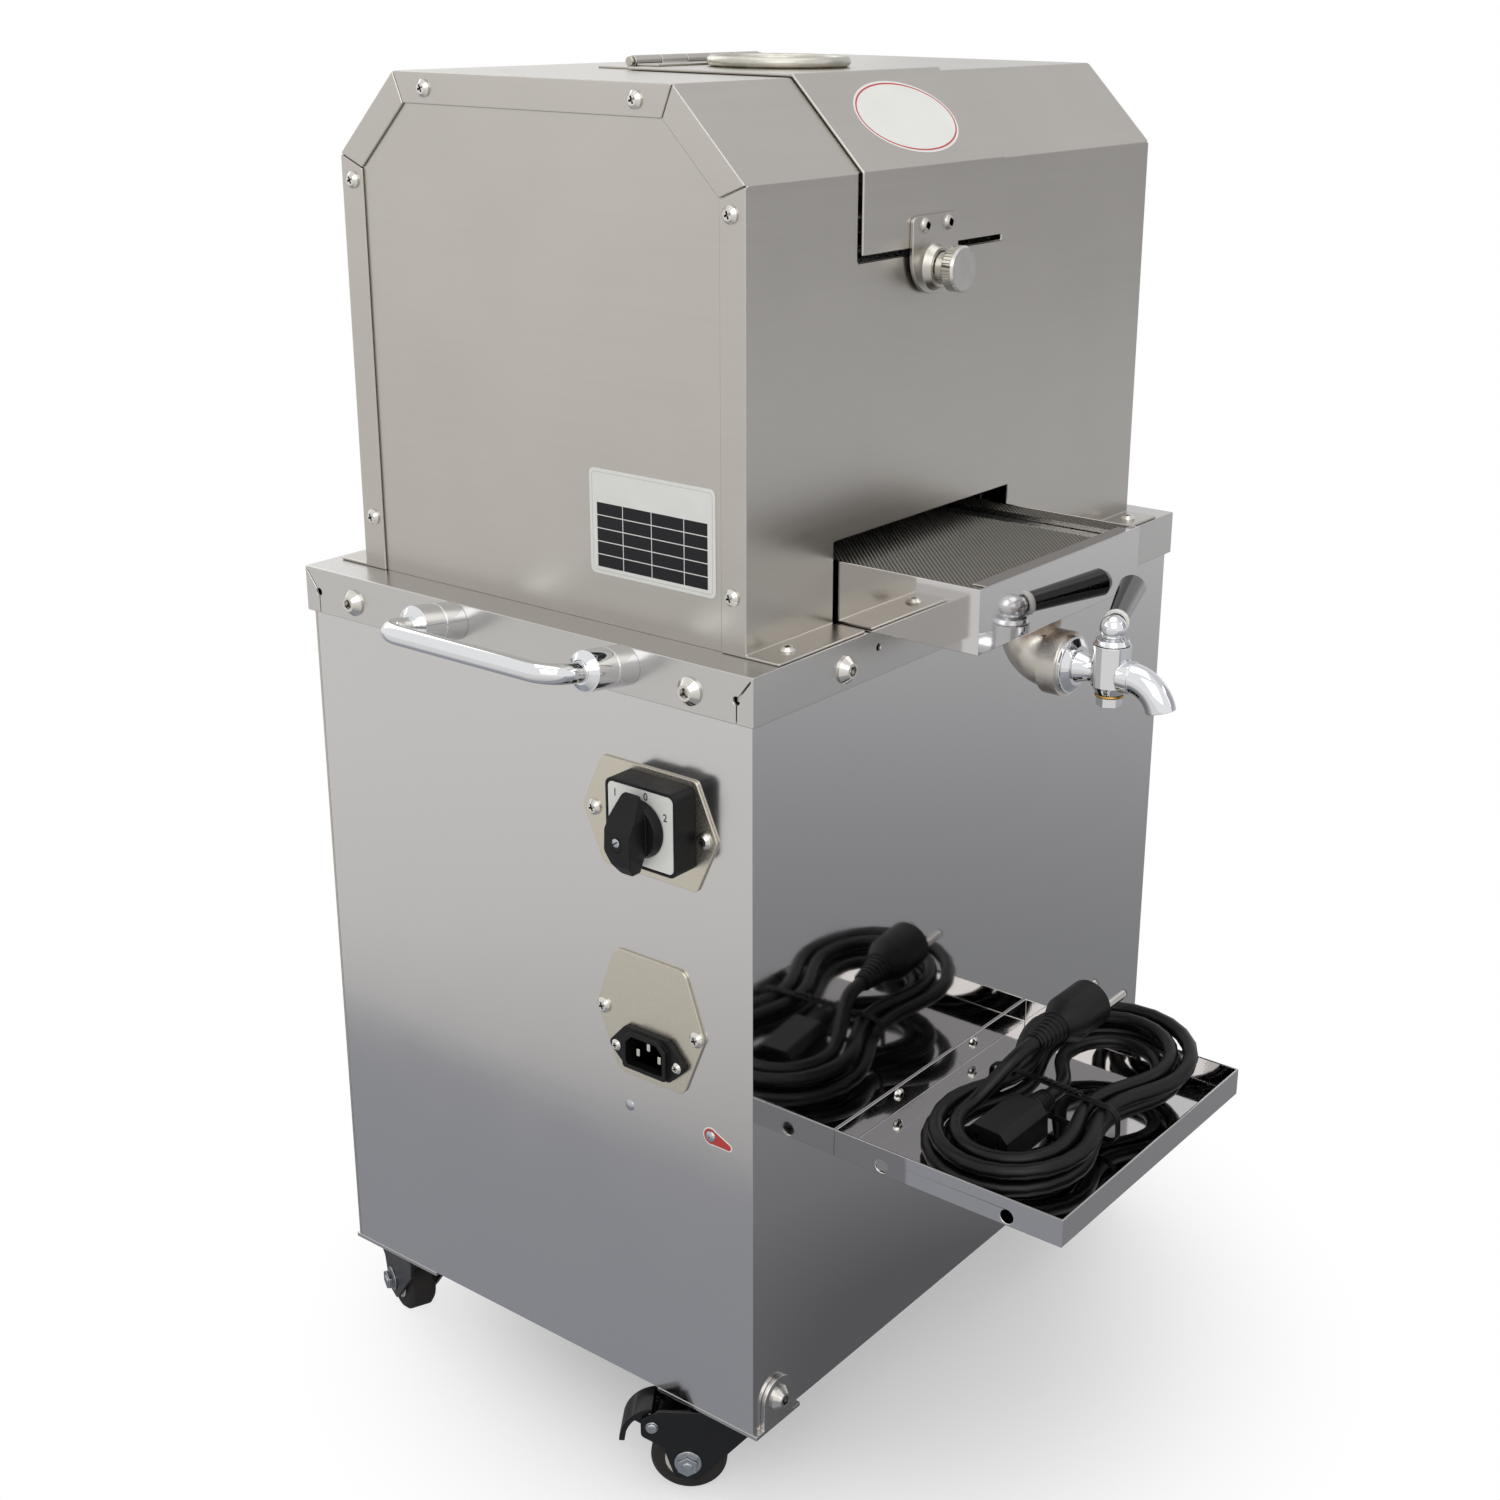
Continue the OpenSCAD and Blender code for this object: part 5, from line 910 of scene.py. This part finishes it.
class JUICER_OT_controls(bpy.types.Operator):
    """White dial with its numbers, screw in the knob with a dark bar of painted slot shade, and bright blades
    in the power inlet
    """
    bl_idname = "juicer.controls"
    bl_label = "Controls"

    # Middles of the dial and the inlet, to the rear and up in millimetres
    DIAL, INLET = (-95.5, -83), (-86, -212)
    # The dial's numbers, with their places right and up from its middle
    NUMBERS = (("1", -15.8, 14.2), ("0", 3.6, 16.4), ("2", 15.6, 8.6))

    def execute(self, context):
        place = on_left(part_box("switch_body")[0].x + 0.8 * MM, *self.DIAL)
        outline = rounded(40.6, 39.1, 3, 15)
        plate("dial_plate", "white lacquered plate", "cabinet", outline, 0, 0.55, place,
              oval(10.4, 10.4, len(outline)), bevel=0.0001)
        for text, right, up in self.NUMBERS:
            self.number(text, place @ shifted(right, up, 0.57))
        self.knob_screw()
        self.blades()
        return {"FINISHED"}

    def knob_screw(self):
        y, z = self.DIAL
        place = on_left(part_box("switch_knob")[0].x, y, z - 2.2)
        turning("knob_screw", "zinc-plated steel", "knob",
                [(0, 0.55), (1.1, 0.5), (1.9, 0.3), (2.2, 0.05), (2.2, -0.4)], place, 28)
        # Painted shade: a dark bar stands on the screw head where the slot's shadow falls
        plate("knob_screw_slot_shade", "dark screen print", "knob", rounded(3.4, 0.7, 0.3, 3), 0.3, 0.6,
              place @ turned(35))

    def number(self, text, place):
        name = "dial_number_" + text
        data = bpy.data.curves.new(name, "FONT")
        data.body = text
        data.size = 5.4 * MM
        data.extrude = 0.03 * MM
        data.offset = 0.05 * MM
        data.align_x = "CENTER"
        data.align_y = "CENTER"
        data.materials.append(bpy.data.materials["dark screen print"])
        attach(show(name, data, place), "cabinet")

    def blades(self):
        bm = bmesh.new()
        place = on_left(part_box("inlet_socket")[0].x, *self.INLET)
        for right, up in ((-7, -2), (0, 3), (7, -2)):
            slab(bm, rounded(2.2, 4.2, 0.5, 3), -14, -3.9, place @ shifted(right, up, 0))
        piece("inlet_blades", bm, "nickel-plated steel", "cabinet", bevel=0.0002)


class JUICER_OT_screen(bpy.types.Operator):
    """Woven wire screen in its strip frame, in the juice pan"""
    bl_idname = "juicer.screen"
    bl_label = "Screen"

    # Millimetres: width and thickness of the frame's strip, and the length of wire that it holds
    STRIP, THICK, HELD = 8, 1.2, 2
    # How far a wire swings as it is woven, as a share of its radius
    CRIMP = 0.9

    def execute(self, context):
        low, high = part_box("strainer")
        cloth = self.cloth(context.scene.juicer_size, low, high)
        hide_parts("strainer")
        self.strips(low, high)
        return {"FINISHED"}

    def cloth(self, size, low, high):
        bm = bmesh.new()
        pitch, radius = size.wire_pitch, size.wire_diameter / 2
        strip, held, level = self.STRIP * MM, self.HELD * MM, high.z - self.THICK / 2 * MM
        x0, x1, y0, y1 = low.x + strip, high.x - strip, low.y + strip, high.y - strip

        def spread(start, end):
            count = int((end - start) / pitch) + 1
            return [start + (i + 0.5) * (end - start) / count for i in range(count)]
        xs, ys = spread(x0, x1), spread(y0, y1)

        def swing(i, j):
            return radius * (self.CRIMP if (i + j) % 2 else -self.CRIMP)
        for i, x in enumerate(xs):
            run = [(x, y, level + swing(i, j)) for j, y in enumerate(ys)]
            tube(bm, [Vector(p) for p in ((x, y0 - held, level), *run, (x, y1 + held, level))], radius, 4)
        for j, y in enumerate(ys):
            run = [(x, y, level - swing(i, j)) for i, x in enumerate(xs)]
            tube(bm, [Vector(p) for p in ((x0 - held, y, level), *run, (x1 + held, y, level))], radius, 4)
        return piece("screen_cloth", bm, "drawn stainless wire", "screen")

    def strips(self, low, high):
        """Upper and lower strips round the cloth, and the two side strips that it stands on."""
        bm = bmesh.new()
        middle = Matrix.Translation(((low.x + high.x) / 2, (low.y + high.y) / 2, high.z))
        wide, deep, leg = (high.x - low.x) / MM, (high.y - low.y) / MM, (high.z - low.z) / MM
        slab(bm, rounded(wide, deep, 2), -self.THICK, 0, middle,
             rounded(wide - 2 * self.STRIP, deep - 2 * self.STRIP, 1))
        slab(bm, rounded(wide - 1, deep - 1, 2), -3.2, -2.2, middle,
             rounded(wide - 1.6 * self.STRIP, deep - 1.6 * self.STRIP, 1))
        for side in (-1, 1):
            edge = middle @ shifted(side * (wide / 2 - 0.6), 0, 0)
            slab(bm, rounded(1.0, deep - 6, 0.3, 2), -leg, -1.0, edge)
        piece("screen_frame", bm, "turned stainless", "screen", bevel=0.0002)


class JUICER_OT_tap_trim(bpy.types.Operator):
    """White ferrule ring on the tap's grip, and the brass washer above its nut"""
    bl_idname = "juicer.tap_trim"
    bl_label = "Tap trim"

    # Millimetres: the tap's middle, its ball head above that and the ball's diameter, and its nut below
    TAP, BALL, BALL_WIDE, NUT = (-34, -244, -6.6), 8, 13.4, 25
    # Degrees: the grip's turn and its droop
    YAW, DROOP = 20, 4.5

    def execute(self, context):
        x, y, z = self.TAP
        grip = Matrix.Translation(at(x, y, z + self.BALL)) @ turned(self.YAW) @ turned(90 - self.DROOP, "Y")
        turning("grip_ring", "white lacquered plate", "tap_lever",
                [(5.0, -0.1), (6.0, 0.1), (6.35, 0.8), (6.35, 2.2), (6.0, 2.9), (5.0, 3.1), (5.0, -0.1)],
                grip @ shifted(0, 0, self.BALL_WIDE / 2 + 1), 36)
        turning("tap_washer", "turned brass", "tap_lever",
                [(5.2, 0.1), (7.1, 0.1), (7.35, -0.3), (7.35, -0.8), (7.1, -1.2), (5.2, -1.2), (5.2, 0.1)],
                Matrix.Translation(at(x, y, z - self.NUT - 0.3)), 36)
        return {"FINISHED"}


class JUICER_OT_caster_trim(bpy.types.Operator):
    """Zinc axle nuts and pedal rivets, and the pale hub rings of the wheels"""
    bl_idname = "juicer.caster_trim"
    bl_label = "Caster trim"

    # Millimetres: from the middle to a stem, from the stem to the axle and the pedal's pivot, half the fork
    STEM, AXLE, PIVOT, CHEEK = (179, 118), (0, 20.0, 20.5), (0, 39, 42.5), 12.3

    def proud(self, *profile):
        """A profile whose heights are measured from the outside of the fork."""
        return [(r, self.CHEEK + h) for r, h in profile]

    def execute(self, context):
        for key, (sx, sy, yaw) in CORNERS.items():
            foot = Vector((sx * self.STEM[0] * MM, MIDDLE.y + sy * self.STEM[1] * MM, 0))
            spot = Matrix.Translation(foot) @ turned(yaw)
            nuts, rivets, hubs = bmesh.new(), bmesh.new(), bmesh.new()
            for side in (-1, 1):
                out = turned(side * 90, "Y")
                axle = spot @ shifted(*self.AXLE) @ out
                slab(nuts, oval(11.9, 11.9, 6), self.CHEEK + 0.6, self.CHEEK + 4.05, axle)
                lathe(nuts, self.proud((0, 4.9), (2.2, 4.8), (3.0, 4.3), (3.0, 3.5)), axle, 24)
                lathe(nuts, self.proud((3.2, 0.05), (7.2, 0.05), (7.4, 0.4), (7.2, 0.75), (3.2, 0.75),
                                       (3.2, 0.05)), axle, 32)
                lathe(hubs, [(8.2, 7.6), (11.8, 8.35), (12.6, 8.75), (12.3, 9.05), (8.6, 8.9), (8.2, 7.6)],
                      axle, 44)
                pivot = spot @ shifted(*self.PIVOT) @ out
                lathe(rivets, self.proud((0, 2.1), (1.6, 2.0), (2.9, 1.5), (3.5, 0.8), (3.5, 0.25)),
                      pivot, 24)
            piece("axle_nuts_" + key, nuts, "zinc-plated steel", "caster_" + key, bevel=0.0003)
            piece("pedal_rivets_" + key, rivets, "zinc-plated steel", "brake_" + key)
            piece("hub_rings_" + key, hubs, "off-white nylon", "wheel_" + key)
        return {"FINISHED"}


class JUICER_PT_panel(bpy.types.Panel):
    """Colours, sizes and the steps that dress the juicer"""
    bl_idname = "JUICER_PT_panel"
    bl_label = "Sugarcane juicer"
    bl_space_type = "VIEW_3D"
    bl_region_type = "UI"
    bl_category = "Juicer"

    def draw(self, context):
        for group in (context.scene.juicer_finish, context.scene.juicer_size):
            for name in group.__annotations__:
                self.layout.prop(group, name)
        for step in STEPS:
            self.layout.operator(step.bl_idname)


STEPS = (JUICER_OT_stage, JUICER_OT_finishes, JUICER_OT_cord, JUICER_OT_plates, JUICER_OT_controls,
         JUICER_OT_screen, JUICER_OT_tap_trim, JUICER_OT_caster_trim)
CLASSES = (JuicerFinish, JuicerSize, *STEPS, JUICER_PT_panel)


def register():
    for cls in CLASSES:
        bpy.utils.register_class(cls)
    bpy.types.Scene.juicer_finish = PointerProperty(type=JuicerFinish)
    bpy.types.Scene.juicer_size = PointerProperty(type=JuicerSize)


def unregister():
    del bpy.types.Scene.juicer_size
    del bpy.types.Scene.juicer_finish
    for cls in reversed(CLASSES):
        bpy.utils.unregister_class(cls)


def main():
    register()
    bpy.ops.juicer.stage()
    bpy.ops.juicer.finishes()
    bpy.ops.juicer.cord()
    bpy.ops.juicer.plates()
    bpy.ops.juicer.controls()
    bpy.ops.juicer.screen()
    bpy.ops.juicer.tap_trim()
    bpy.ops.juicer.caster_trim()


if __name__ == "__main__":
    main()
